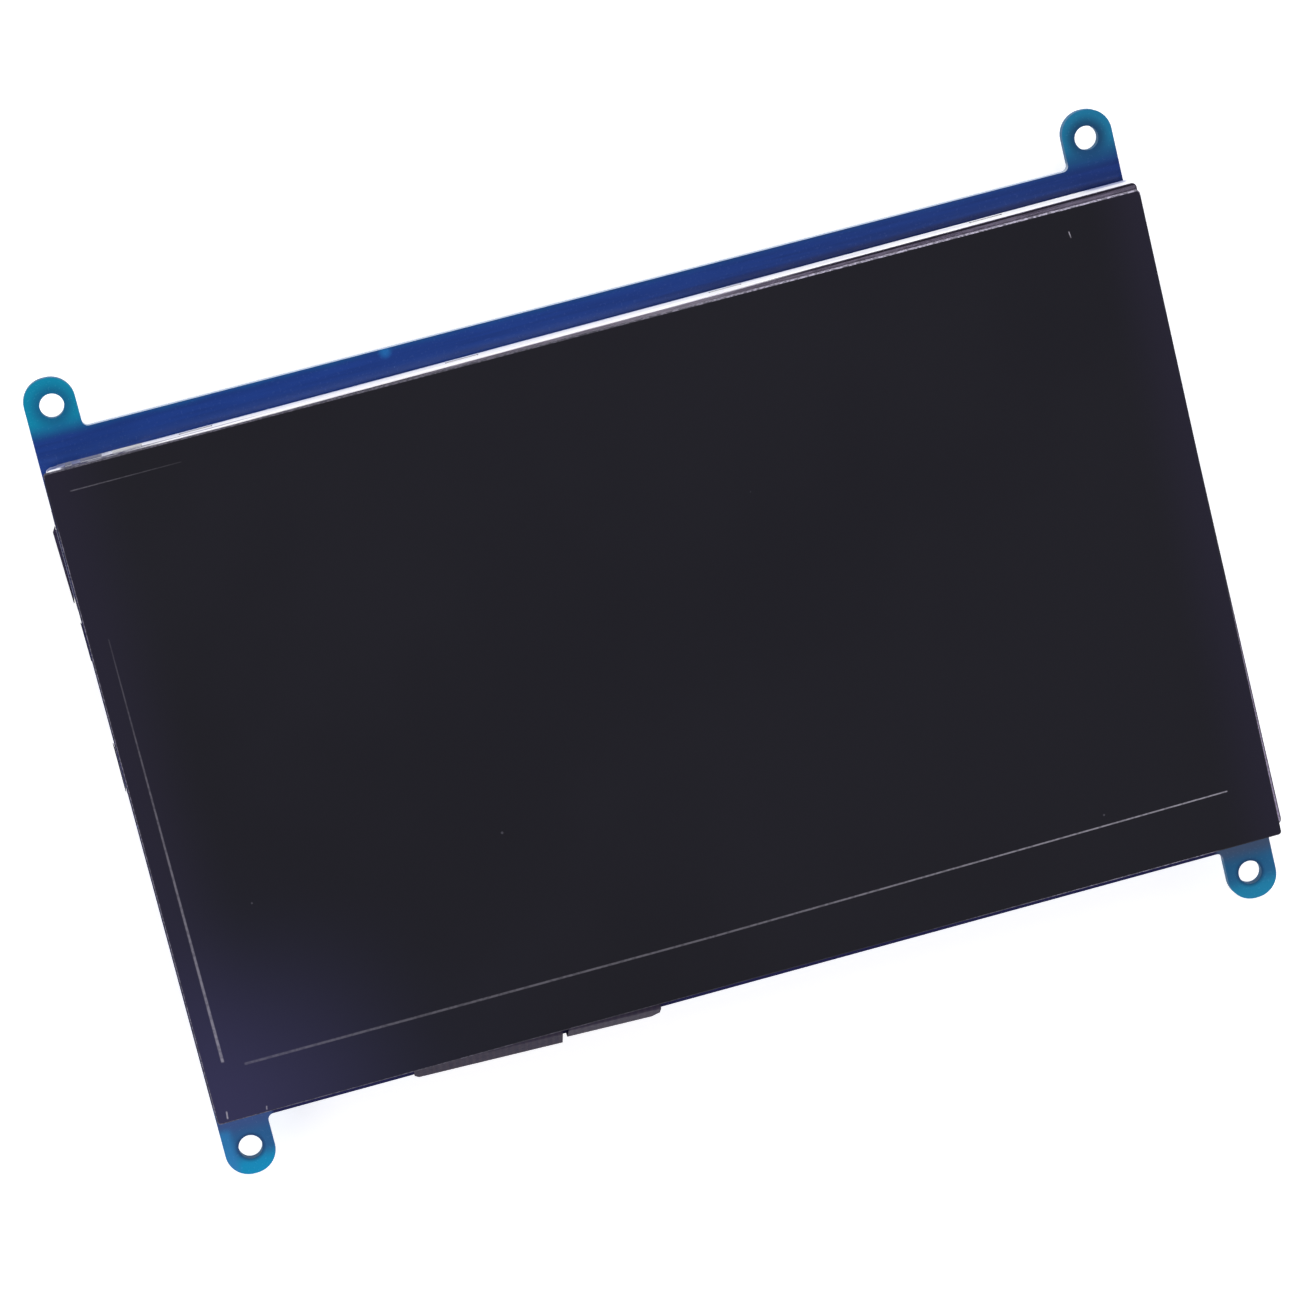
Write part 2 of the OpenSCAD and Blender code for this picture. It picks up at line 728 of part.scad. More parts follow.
// Solder feet behind a socket
module socket_feet(count, pitch, x, w) {
    for (i = [0 : count - 1])
        translate([x, (i - (count - 1) / 2) * pitch - w / 2, 0]) cube([1.2, w, 0.2]);
}

module at_video() {
    on_back(board_left - video_lip, video_y) children();
}

module at_power() {
    on_back(board_left, power_y) children();
}

module at_data() {
    on_back(board_left - data_lip, data_y) children();
}

module video_shell() {
    color("silver") at_video()
        plug_shell(video_half, video_levels, video_wall, video_d, video_leg_a(), [2.2, 4, 1.8], 0.7);
}

module video_tongue() {
    color([0.12, 0.12, 0.13]) at_video()
        plug_tongue(video_half, video_levels, video_d, video_block, video_tongue, video_tongue_c, video_back);
}

module video_contacts() {
    strip_t = 0.08;
    start = video_d - video_block - video_tongue[2] + 0.5;
    color("gold") at_video() {
        tongue_strips(10, 1, 0, start, video_tongue_c + video_tongue[1], 5.6, 0.4, strip_t);
        tongue_strips(9, 1, 0, start, video_tongue_c - strip_t, 5.6, 0.4, strip_t);
        socket_feet(19, 0.5, video_d + video_back, 0.25);
    }
}

module small_shell() {
    plug_shell(small_half, small_levels, small_wall, small_d, small_leg_a(), [1, 2, 1.2], 0.5);
}

module small_insulator() {
    plug_tongue(small_half, small_levels, small_d, small_block, small_tongue, small_tongue_c, small_back);
}

module small_contacts() {
    strip_t = 0.08;
    start = small_d - small_block - small_tongue[2] + 0.4;
    tongue_strips(5, 0.65, 0, start, small_tongue_c - strip_t, 2.2, 0.35, strip_t);
    socket_feet(5, 0.65, small_d + small_back, 0.3);
}

module power_shell() {
    color("silver") at_power() small_shell();
}

module power_tongue() {
    color([0.12, 0.12, 0.13]) at_power() small_insulator();
}

module power_contacts() {
    color("gold") at_power() small_contacts();
}

module data_shell() {
    color("silver") at_data() small_shell();
}

module data_tongue() {
    color([0.12, 0.12, 0.13]) at_data() small_insulator();
}

module data_contacts() {
    color("gold") at_data() small_contacts();
}

// Backlight switch. Local X runs from its front inwards and Y along its travel.

module at_switch() {
    on_back(switch_front, switch_y) children();
}

module switch_case() {
    knob_way = slider_travel + knob_size[0] + 0.3;
    inside = switch_size - [2 * switch_wall, 2 * switch_wall, switch_wall];
    color("silver") at_switch() {
        difference() {
            translate([0, -switch_size[1] / 2, 0]) cube(switch_size);
            translate([switch_wall, -inside[1] / 2, -1]) cube([inside[0], inside[1], 1 + inside[2]]);
            translate([-1, -knob_way / 2, switch_base_t]) cube([1.5, knob_way, 0.7]);
        }
        for (x = [0.2, 1.7], y = [-1, 1])
            translate([x, y * (switch_size[1] / 2 + 0.3) - 0.4, 0]) cube([0.8, 0.8, 0.25]);
    }
}

module switch_base() {
    color([0.15, 0.15, 0.16]) at_switch() {
        translate([switch_wall, -switch_size[1] / 2 + switch_wall, 0])
            cube([switch_size[0] - 2 * switch_wall, switch_size[1] - 2 * switch_wall, switch_base_t]);
    }
}

module switch_slider() {
    play = 0.05;
    color([0.1, 0.1, 0.1]) at_switch() translate([0, -slider_travel / 2, switch_base_t + play]) {
        translate([switch_wall + play, -slider_size[1] / 2, 0]) cube(slider_size);
        translate([-knob_size[0], -knob_size[0] / 2, play])
            cube([knob_size[0] + switch_wall + 0.5, knob_size[0], knob_size[1]]);
        for (y = [-0.4, 0, 0.4]) translate([-knob_size[0], y, play]) cylinder(r = 0.12, h = knob_size[1]);
    }
}

// Chips and small parts on the back of the board

scaler_at = [-38, 20];
bridge_at = [-54, -9];
memory_at = [-17, 30];
regulators_at = [[-66, 7], [-66, -3]];
boost_at = [-66, -27];
inductors_at = [[-57, -27, 5.8], [-55, 8, 4.8], [-48, 38, 4.8]];
rectifiers_at = [[-57, -34], [-66, -33]];
electrolytics_at = [[-71, -42], [-63, -42]];
crystals_at = [[-22, 14, 90, 10.4], [-43, -20, 0, 10.4]];

module scaler_chip() {
    color([0.16, 0.16, 0.17]) on_back(scaler_at[0], scaler_at[1]) quad_package(14, 1.4, 25, 0.5);
}

module bridge_chip() {
    color([0.16, 0.16, 0.17]) on_back(bridge_at[0], bridge_at[1]) quad_package(7, 1.4, 12, 0.5);
}

module memory_chip() {
    color([0.16, 0.16, 0.17]) on_back(memory_at[0], memory_at[1], 90)
        dual_package(3.9, 4.9, 1.5, 4, 1.27, 1.05);
}

// Power packages with one wide tab and three leads
module regulators() {
    color([0.16, 0.16, 0.17]) for (at = regulators_at) on_back(at[0], at[1]) {
        moulded_body(3.5, 6.5, 0.1, 1.6, 0.15);
        lead_row(3, 2.3, 1.7, 1, 1.75, 0.7, 0.25);
        rotate(180) lead_row(1, 1, 1.7, 1, 1.75, 3, 0.25);
    }
}

module boost_chip() {
    color([0.16, 0.16, 0.17]) on_back(boost_at[0], boost_at[1]) {
        moulded_body(1.6, 2.9, 0.1, 1, 0.08);
        for (turn = [0, 180]) rotate(turn) lead_row(3, 0.95, 0.75, 0.7, 0.65, 0.4, 0.15);
    }
}

// Drum cores: a winding between two round flanges
module power_inductors() {
    color([0.3, 0.3, 0.31]) for (at = inductors_at) on_back(at[0], at[1]) {
        r = at[2] / 2;
        rotate_extrude() polygon([
            [0, 0.2], [r, 0.2], [r, 1], [r * 0.84, 1], [r * 0.84, at[2] * 0.6],
            [r, at[2] * 0.6], [r, at[2] * 0.75], [r - 0.25, at[2] * 0.75 + 0.2], [0, at[2] * 0.75 + 0.2]
        ]);
        for (x = [-1, 1]) translate([x * r * 0.68, 0, 0]) slab(r * 0.66, r * 0.9, 0, 0.3);
    }
}

module rectifiers() {
    color([0.16, 0.16, 0.17]) for (at = rectifiers_at) on_back(at[0], at[1]) {
        moulded_body(4.3, 2.6, 0.1, 2, 0.15);
        for (turn = [0, 180]) rotate(turn) lead_row(1, 1, 2, 1.2, 0.5, 1.4, 0.2);
    }
}

// Round cans with a crimped waist, on a base with two cut corners
module electrolytic_capacitors() {
    d = 6.3;
    h = 5.4;
    base = 6.6;
    color("silver") for (at = electrolytics_at) on_back(at[0], at[1]) {
        linear_extrude(1) polygon([
            [-base / 2, -base / 2], [base / 2 - 1.3, -base / 2], [base / 2, -base / 2 + 1.3],
            [base / 2, base / 2 - 1.3], [base / 2 - 1.3, base / 2], [-base / 2, base / 2]
        ]);
        rotate_extrude() polygon([
            [0, 0.5], [d / 2, 0.5], [d / 2, 1.6], [d / 2 - 0.25, 1.8], [d / 2 - 0.25, 2], [d / 2, 2.2],
            [d / 2, h - 0.3], [d / 2 - 0.3, h], [0, h]
        ]);
    }
}

module crystal_cans() {
    color("silver") for (at = crystals_at) on_back(at[0], at[1], at[2]) {
        translate([0, 0, 0.9]) linear_extrude(0.4) oval(at[3] + 0.8, 4.6);
        translate([0, 0, 0.9]) linear_extrude(3.1) oval(at[3], 3.8);
    }
}

module crystal_bases() {
    color([0.12, 0.12, 0.13]) for (at = crystals_at) on_back(at[0], at[1], at[2]) {
        translate([0, 0, 0.1]) linear_extrude(0.8) rounded_rect(at[3] + 1.2, 5, 0.6);
        for (x = [-1, 1]) translate([x * (at[3] / 2 + 0.4), 0, 0]) slab(1.8, 0.8, 0, 0.3);
    }
}

// A row of like small parts: [first x, first y, step x, step y, count, turn]
capacitor_rows = [
    [-48.5, 13, 0, 2.4, 6, 0], [-27.5, 11, 0, 2.4, 7, 0], [-45, 9.5, 2.4, 0, 5, 90],
    [-44, 30.5, 2.4, 0, 4, 90],
    [-60, -5, 0, -2.4, 4, 0], [-58, -16, 2.4, 0, 3, 90], [-74.5, -20, 2.2, 0, 3, 90], [-49, 3, 2.4, 0, 3, 90],
    [-36, -34.5, 2.4, 0, 4, 90], [-21, 37, 2.4, 0, 3, 90]
];
resistor_rows = [
    [-65.5, 28.5, 0, 1.6, 8, 0], [-61.5, 28.5, 0, 1.6, 8, 0], [-30.5, 8, 1.6, 0, 4, 90],
    [-25, -34, 1.6, 0, 5, 90],
    [-57, 0.5, 1.6, 0, 4, 90], [-73.5, -9, 0, -1.6, 5, 0], [-48, -34.5, 1.6, 0, 5, 90]
];

module small_parts(rows, size) {
    for (row = rows, i = [0 : row[4] - 1])
        on_back(row[0] + i * row[2], row[1] + i * row[3], row[5]) slab(size[0], size[1], 0, size[2]);
}

module chip_capacitors() {
    color("tan") small_parts(capacitor_rows, [1.6, 0.8, 0.8]);
}

module chip_resistors() {
    color([0.1, 0.1, 0.1]) small_parts(resistor_rows, [1.6, 0.8, 0.45]);
}

module indicator_lamp() {
    color("honeydew") on_back(-78, -27) {
        slab(2, 1.25, 0, 0.3);
        slab(1.2, 1.25, 0.3, 0.5);
    }
}

circuit_board();
mounting_tape();
rear_tray();
panel_frame();
reflector_film();
light_guide();
lamp_strip();
backlight_lamps();
diffuser_film();
lower_prism_film();
upper_prism_film();
rear_polariser();
cell_glass();
filter_glass();
driver_chips();
front_polariser();
cell_cushion();
front_bezel();
touch_gasket();
touch_sensor();
cover_glass();
panel_flex();
touch_flex();
touch_chip();
panel_socket();
panel_latch();
panel_contacts();
touch_socket();
touch_latch();
touch_contacts();
video_shell();
video_tongue();
video_contacts();
power_shell();
power_tongue();
power_contacts();
data_shell();
data_tongue();
data_contacts();
switch_case();
switch_base();
switch_slider();
scaler_chip();
bridge_chip();
memory_chip();
regulators();
boost_chip();
power_inductors();
rectifiers();
electrolytic_capacitors();
crystal_cans();
crystal_bases();
chip_capacitors();
chip_resistors();
indicator_lamp();
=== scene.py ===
"""Looks of a seven inch touch display: a black cover glass and panel module on a blue lugged board."""

import json
import math

import bpy
from mathutils import Matrix, Vector


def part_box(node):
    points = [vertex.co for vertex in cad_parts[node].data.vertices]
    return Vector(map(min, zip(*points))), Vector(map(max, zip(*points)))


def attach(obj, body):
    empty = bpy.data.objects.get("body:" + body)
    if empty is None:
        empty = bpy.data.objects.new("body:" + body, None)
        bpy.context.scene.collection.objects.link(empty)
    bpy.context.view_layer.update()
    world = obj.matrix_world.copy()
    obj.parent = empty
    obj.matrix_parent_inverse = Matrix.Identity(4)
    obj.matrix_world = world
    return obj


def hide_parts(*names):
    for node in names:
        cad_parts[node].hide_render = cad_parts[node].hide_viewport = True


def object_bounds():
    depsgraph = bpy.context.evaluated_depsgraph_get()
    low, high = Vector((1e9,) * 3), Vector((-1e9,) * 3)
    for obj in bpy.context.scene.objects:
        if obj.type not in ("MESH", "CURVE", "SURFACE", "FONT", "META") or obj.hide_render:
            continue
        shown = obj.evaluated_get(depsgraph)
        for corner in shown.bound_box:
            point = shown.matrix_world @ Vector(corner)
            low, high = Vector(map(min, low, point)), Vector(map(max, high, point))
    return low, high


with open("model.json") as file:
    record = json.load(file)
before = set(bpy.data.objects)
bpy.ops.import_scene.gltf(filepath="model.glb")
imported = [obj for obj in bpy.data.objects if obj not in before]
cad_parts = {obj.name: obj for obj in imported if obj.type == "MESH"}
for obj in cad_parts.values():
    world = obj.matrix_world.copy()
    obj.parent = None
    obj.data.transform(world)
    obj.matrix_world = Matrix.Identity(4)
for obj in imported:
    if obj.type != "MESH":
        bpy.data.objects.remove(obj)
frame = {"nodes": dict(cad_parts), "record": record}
CAD_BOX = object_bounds()
NODES = frame["nodes"]
MAIN_BODY = "display"
MM = 0.001

# Camera at the photograph's place and turn
CAMERA_AT = Vector((-73.73, 148.05, 724.81)) * MM
LOOK = Vector((0.09598, -0.19974, -0.97514))
ACROSS = Vector((0.9617, -0.23409, 0.14261))
LENS_MM = 138.46
SENSOR_MM = 36

# Places read from the frame
LUG_MOUNT = next(m for m in frame["record"]["mounts"] if m["name"] == "lug_holes")
HOLE_X = LUG_MOUNT["dims"]["spacing_x_mm"] / 2
HOLE_Y = LUG_MOUNT["dims"]["spacing_y_mm"] / 2
HOLE_R = LUG_MOUNT["dims"]["hole_r_mm"]
COVER_LOW, COVER_HIGH = (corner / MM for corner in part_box("cover_glass"))
BOARD_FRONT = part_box("circuit_board")[1].z / MM

# Depths of the reliefs
PIT_DEPTH = 0.05 * MM
LINE_DEPTH = 0.02 * MM
GROUND_DEPTH = 0.08 * MM
WIRE_DEPTH = 0.1 * MM

# How much a plain finish changes over its grain
CLOUD_SHADE = 0.75
GLOSS_CHANGE = 0.08


def srgb(red, green, blue):
    """A colour given as it looks on a screen, 0 to 255, as linear light."""
    levels = [c / 255 for c in (red, green, blue)]
    linear = [c / 12.92 if c <= 0.04045 else ((c + 0.055) / 1.055) ** 2.4 for c in levels]
    return (*linear, 1.0)


# Node building

# Places of the colour sockets on a mixing node
MIX_SHARE = 0
MIX_UNDER = 6
MIX_OVER = 7
MIX_RESULT = 2


def add_node(tree, kind, inputs=None, **settings):
    """A shader node with its settings, and its inputs given as values or as other nodes' outputs."""
    made = tree.nodes.new("ShaderNode" + kind)
    for key, value in settings.items():
        setattr(made, key, value)
    for key, value in (inputs or {}).items():
        if isinstance(value, bpy.types.NodeSocket):
            tree.links.new(value, made.inputs[key])
        else:
            made.inputs[key].default_value = value
    return made


def tree_of(*values):
    """The node tree that a given output belongs to."""
    return next(value for value in values if isinstance(value, bpy.types.NodeSocket)).id_data


def maths(operation, first, second=0.0, clamp=False):
    tree = tree_of(first, second)
    return add_node(tree, "Math", {0: first, 1: second}, operation=operation, use_clamp=clamp).outputs[0]


def combine(operation, values):
    result = values[0]
    for value in values[1:]:
        result = maths(operation, result, value)
    return result


def product(*factors):
    return combine("MULTIPLY", factors)


def largest(*values):
    return combine("MAXIMUM", values)


def rest_of(share):
    return maths("SUBTRACT", 1.0, share)


def mix_colour(share, under, over):
    inputs = {MIX_SHARE: share, MIX_UNDER: under, MIX_OVER: over}
    made = add_node(tree_of(share), "Mix", inputs, data_type="RGBA", clamp_factor=True)
    return made.outputs[MIX_RESULT]


def ramp(value, low, high, start=0.0, end=1.0):
    """Start where value is low, end where it is high, and a smooth change between."""
    inputs = {0: value, 1: low, 2: high, 3: start, 4: end}
    return add_node(tree_of(value), "MapRange", inputs, interpolation_type="SMOOTHSTEP").outputs[0]


def ramp_mm(value, low, high, start=0.0, end=1.0):
    return ramp(value, low * MM, high * MM, start, end)


def band_mm(value, low, inner_low, inner_high, high):
    """One between the two inner places, falling smoothly to nothing at the outer ones."""
    return product(ramp_mm(value, low, inner_low), ramp_mm(value, high, inner_high))


def object_place(tree):
    return add_node(tree, "TexCoord").outputs["Object"]


def split(vector):
    return add_node(tree_of(vector), "SeparateXYZ", {0: vector}).outputs[:]


def dot(vector, direction):
    made = add_node(tree_of(vector), "VectorMath", {0: vector, 1: direction}, operation="DOT_PRODUCT")
    return made.outputs["Value"]


def distance_to(x, y, point):
    """How far a place on the board is from a point given in millimetres."""
    across = maths("SUBTRACT", x, point[0] * MM)
    upward = maths("SUBTRACT", y, point[1] * MM)
    squares = maths("ADD", maths("POWER", across, 2.0), maths("POWER", upward, 2.0))
    return maths("SQRT", squares)


def segment_mask(place, start, end, widths, strengths):
    """A thin straight mark from start to end in millimetres, with its width and strength at each end."""
    first, last = Vector((*start, 0)) * MM, Vector((*end, 0)) * MM
    along = (last - first).normalized()
    side = Vector((-along.y, along.x, 0))
    tree = tree_of(place)
    from_first = add_node(tree, "VectorMath", {0: place, 1: first}, operation="SUBTRACT").outputs[0]
    travel = dot(from_first, along)
    offset = maths("ABSOLUTE", dot(from_first, side))
    length = (last - first).length

    def along_mark(at_start, at_end):
        return add_node(tree, "MapRange", {0: travel, 1: 0.0, 2: length, 3: at_start, 4: at_end}).outputs[0]

    width = along_mark(widths[0] * MM, widths[1] * MM)
    inside = maths("SUBTRACT", 1.0, maths("DIVIDE", offset, width), clamp=True)
    edge = 0.15 * MM
    begun = ramp(travel, -edge, edge)
    not_ended = ramp(travel, length - edge, length + edge, 1.0, 0.0)
    return product(ramp(inside, 0.0, 0.6), begun, not_ended, along_mark(*strengths))


def effect_group(name, inputs, outputs):
    """An empty shader group with named sockets, and its two end nodes."""
    tree = bpy.data.node_groups.new(name, "ShaderNodeTree")
    for label, value in inputs:
        socket = tree.interface.new_socket(label, in_out="INPUT", socket_type="NodeSocketFloat")
        socket.default_value = value
    for label in outputs:
        tree.interface.new_socket(label, in_out="OUTPUT", socket_type="NodeSocketFloat")
    return tree, tree.nodes.new("NodeGroupInput"), tree.nodes.new("NodeGroupOutput")


def fine_grain_group():
    """Cloudy colour change and a fine pitted height, for moulded, plated and printed faces."""
    tree, given, put = effect_group(
        "fine_grain", [("Cloud Scale", 120.0), ("Pit Scale", 3000.0)], ["Cloud", "Pits"])
    place = object_place(tree)
    for label, scale, detail in (("Cloud", "Cloud Scale", 4.0), ("Pits", "Pit Scale", 2.0)):
        inputs = {"Vector": place, "Scale": given.outputs[scale], "Detail": detail}
        noise = add_node(tree, "TexNoise", inputs)
        tree.links.new(noise.outputs["Fac"], put.inputs[label])
    return tree


def dust_group():
    """Sparse small specks of dust."""
    tree, given, put = effect_group(
        "dust_specks", [("Scale", 300.0), ("Share", 0.05), ("Size", 0.12)], ["Specks"])
    cells = add_node(tree, "TexVoronoi", {"Vector": object_place(tree), "Scale": given.outputs["Scale"]})
    chosen = maths("LESS_THAN", split(cells.outputs["Color"])[0], given.outputs["Share"])
    near = maths("LESS_THAN", cells.outputs["Distance"], given.outputs["Size"])
    tree.links.new(product(chosen, near), put.inputs["Specks"])
    return tree


def drawn_lines_group():
    """Fine lines along X, as rolling leaves them on sheet metal, broad along Y too where asked."""
    tree, given, put = effect_group(
        "drawn_lines", [("Scale", 2200.0), ("Length", 20.0), ("Breadth", 1.0)], ["Lines"])
    x, y, z = split(object_place(tree))
    shortened = maths("DIVIDE", x, given.outputs["Length"])
    narrowed = maths("DIVIDE", y, given.outputs["Breadth"])
    place = add_node(tree, "CombineXYZ", {0: shortened, 1: narrowed, 2: z}).outputs[0]
    lines = add_node(tree, "TexNoise", {"Vector": place, "Scale": given.outputs["Scale"], "Detail": 3.0})
    tree.links.new(lines.outputs["Fac"], put.inputs["Lines"])
    return tree


FINE_GRAIN = fine_grain_group()
DUST = dust_group()
DRAWN_LINES = drawn_lines_group()


def use_group(tree, group, *values):
    """Outputs of a group placed in a material with its own values, in the order of the group's inputs."""
    made = tree.nodes.new("ShaderNodeGroup")
    made.node_tree = group
    for socket, value in zip(made.inputs, values):
        socket.default_value = value
    return made.outputs


def fine_grain(tree, cloud_scale, pit_scale):
    outputs = use_group(tree, FINE_GRAIN, cloud_scale, pit_scale)
    return outputs["Cloud"], outputs["Pits"]


def dust_specks(tree, scale, share, size):
    return use_group(tree, DUST, scale, share, size)["Specks"]


def drawn_lines(tree, scale, length, breadth=1.0):
    return use_group(tree, DRAWN_LINES, scale, length, breadth)["Lines"]


def blank_material(name):
    made = bpy.data.materials.new(name)
    made.use_nodes = True
    return made, made.node_tree, made.node_tree.nodes["Principled BSDF"]


def feed(shader, name, value):
    shader.id_data.links.new(value, shader.inputs[name])


def bump(shader, height, strength, distance):
    inputs = {"Height": height, "Strength": strength, "Distance": distance}
    feed(shader, "Normal", add_node(shader.id_data, "Bump", inputs).outputs[0])


def darker(colour, share):
    return (*(c * share for c in colour[:3]), 1.0)


def streaked(grain, dark, pale):
    """One of two colours, by the dark and pale places of a grain."""
    return mix_colour(ramp(grain, 0.35, 0.65), dark, pale)


def gloss(grain, smooth, dull):
    """Roughness that changes with a grain."""
    return ramp(grain, 0.3, 0.7, smooth, dull)


def grained(name, colour, rough, metallic=0.0, cloud=120.0, pits=3000.0, relief=0.05):
    """A finish of one colour that clouds towards a darker shade, with uneven gloss and a fine relief."""
    made, tree, shader = blank_material(name)
    cloudy, pitted = fine_grain(tree, cloud, pits)
    feed(shader, "Base Color", mix_colour(cloudy, colour, darker(colour, CLOUD_SHADE)))
    feed(shader, "Roughness", gloss(pitted, rough - GLOSS_CHANGE, rough + GLOSS_CHANGE))
    shader.inputs["Metallic"].default_value = metallic
    bump(shader, pitted, relief, PIT_DEPTH)
    return made


# Finishes of the board, with places in millimetres

UPPER_LUG_BLEND = (52.8, 56.2)
LUG_INNER_SIDE = 74.4
TEAL_SPOT = (-29.8, 52.9)


def upper_lug_colour(x, y, rightward):
    """Bare upper lugs: bright teal on the left, deeper on the right and dark round the holes."""
    beside = maths("ABSOLUTE", x)
    from_hole = distance_to(beside, y, (HOLE_X, HOLE_Y))
    outward = ramp_mm(from_hole, HOLE_R, 3.9)
    left = mix_colour(outward, srgb(20, 106, 146), srgb(14, 140, 174))
    right = mix_colour(outward, srgb(30, 74, 110), srgb(32, 122, 160))
    right = mix_colour(ramp_mm(y, 57.4, 54.8, 0.0, 0.7), right, srgb(32, 78, 124))
    return mix_colour(rightward, left, right)


def lower_lug_colour(x, y, rightward):
    """Bare lower lugs: teal along the round end, with a painted sheen by the glass, painted light on the
    left side and painted shade round the holes.
    """
    depth = maths("ABSOLUTE", y)
    # Painted sheen of reflected light on the lugs by the glass
    painted_sheen = mix_colour(rightward, srgb(70, 98, 152), srgb(78, 98, 128))
    middle = mix_colour(rightward, srgb(50, 112, 166), srgb(44, 112, 158))
    rim = mix_colour(rightward, srgb(20, 156, 204), srgb(38, 144, 186))
    colour = mix_colour(ramp_mm(depth, 53.2, 56.0), painted_sheen, middle)
    colour = mix_colour(ramp_mm(depth, 57.6, 60.2), colour, rim)
    # Painted light on the left side of the left lug
    lit_side = product(ramp_mm(x, -80.2, -81.6), ramp_mm(depth, 53.4, 55.0))
    colour = mix_colour(lit_side, colour, srgb(54, 142, 202))
    from_hole = distance_to(maths("ABSOLUTE", x), depth, (HOLE_X, HOLE_Y))
    # Painted shade round the holes
    painted_shade_by_hole = ramp_mm(from_hole, HOLE_R, HOLE_R + 0.7, 0.6, 0.0)
    return mix_colour(painted_shade_by_hole, colour, srgb(30, 52, 96))


def solder_mask():
    """Blue mask over copper, teal on bare lugs, with painted light and shade by the wall, slots and glass.
    """
    made, tree, shader = blank_material("blue_solder_mask")
    x, y, z = split(object_place(tree))
    cloud, pits = fine_grain(tree, 260.0, 2600.0)
    specks = dust_specks(tree, 620.0, 0.03, 0.16)
    streaks = drawn_lines(tree, 1500.0, 30.0)
    rightward = ramp_mm(x, -70, 78)
    pale_blue = mix_colour(rightward, srgb(32, 65, 140), srgb(33, 59, 124))
    deep_blue = mix_colour(rightward, srgb(28, 58, 128), srgb(29, 52, 112))
    colour = streaked(streaks, deep_blue, pale_blue)
    front = ramp_mm(z, 0.5 * BOARD_FRONT, 0.9 * BOARD_FRONT)
    by_wall = product(band_mm(y, 49.4, 49.8, 50.3, 51.0), front)
    # Painted reflection of the bright bezel wall on the board at the left, and painted shade under the wall
    # towards the right
    lit_by_wall = product(by_wall, ramp_mm(x, 20, -20, 0.0, 0.12))
    colour = mix_colour(lit_by_wall, colour, srgb(62, 92, 156))
    painted_shade_by_wall = product(by_wall, ramp_mm(x, 0, 45, 0.0, 0.8))
    colour = mix_colour(painted_shade_by_wall, colour, srgb(10, 32, 90))
    # Painted highlight on the board under the bezel's slots, paler towards the right: the pale colours below
    # are painted light
    under_slots = band_mm(x, -80.2, -79.8, -66.0, -65.6)
    painted_slot_highlight = product(under_slots, band_mm(y, 47.6, 47.8, 48.94, 49.02), front)
    tinned = mix_colour(ramp_mm(x, -74, -72), srgb(156, 158, 182), srgb(253, 253, 255))
    colour = mix_colour(painted_slot_highlight, colour, tinned)
    spot = ramp_mm(distance_to(x, y, TEAL_SPOT), 1.3, 0.2, 0.0, 0.8)
    colour = mix_colour(spot, colour, srgb(36, 112, 180))
    back = rest_of(front)
    wander = product(cloud, 0.7 * MM)
    outward = largest(y, product(maths("ABSOLUTE", y), back))
    on_upper_lug = ramp_mm(maths("ADD", outward, wander), *UPPER_LUG_BLEND)
    colour = mix_colour(on_upper_lug, colour, upper_lug_colour(x, y, rightward))
    below_glass = ramp_mm(y, -49.5, -51.5)
    at_lug = ramp_mm(maths("ABSOLUTE", x), LUG_INNER_SIDE - 0.8, LUG_INNER_SIDE)
    on_lower_lug = product(below_glass, at_lug, front)
    beside_glass = product(ramp_mm(x, -81.5, -81.9), ramp_mm(y, 47.5, 46.0))
    shaded = product(largest(below_glass, beside_glass), front)
    colour = mix_colour(shaded, colour, srgb(38, 38, 84))
    colour = mix_colour(on_lower_lug, colour, lower_lug_colour(x, y, rightward))
    colour = mix_colour(specks, colour, srgb(96, 122, 176))
    feed(shader, "Base Color", colour)
    feed(shader, "Roughness", gloss(pits, 0.16, 0.28))
    shader.inputs["Specular IOR Level"].default_value = 0.35
    bump(shader, pits, 0.05, PIT_DEPTH)
    return made


def raw_board_edge():
    """Routed edge of the board: pale glass fibre layers, stained teal round the lugs, with painted shade
    along the lower edge.
    """
    made, tree, shader = blank_material("routed_board_edge")
    place = object_place(tree)
    _, y, _ = split(place)
    cloud, pits = fine_grain(tree, 700.0, 5000.0)
    waves = {"Vector": place, "Scale": 900.0, "Distortion": 2.0}
    layers = add_node(tree, "TexWave", waves, bands_direction="Z")
    fibre = mix_colour(layers.outputs["Fac"], srgb(150, 168, 190), srgb(196, 204, 214))
    on_lug = ramp_mm(maths("ABSOLUTE", y), 53.6, 55.0)
    colour = mix_colour(on_lug, fibre, srgb(14, 92, 128))
    # Painted shade on the lower edge, away from the lugs
    lower = product(ramp_mm(y, -48.0, -50.0), rest_of(on_lug))
    colour = mix_colour(lower, colour, srgb(38, 38, 76))
    colour = mix_colour(product(cloud, 0.4), colour, srgb(70, 96, 140))
    feed(shader, "Base Color", colour)
    shader.inputs["Roughness"].default_value = 0.75
    bump(shader, pits, 0.2, PIT_DEPTH)
    return made


# Finishes of the glass and the panel

PANEL_SKEW = math.radians(0.4)
UPPER_WALL_Y = (48.5, 48.9)
UPPER_LIP_Y = (44, 46)
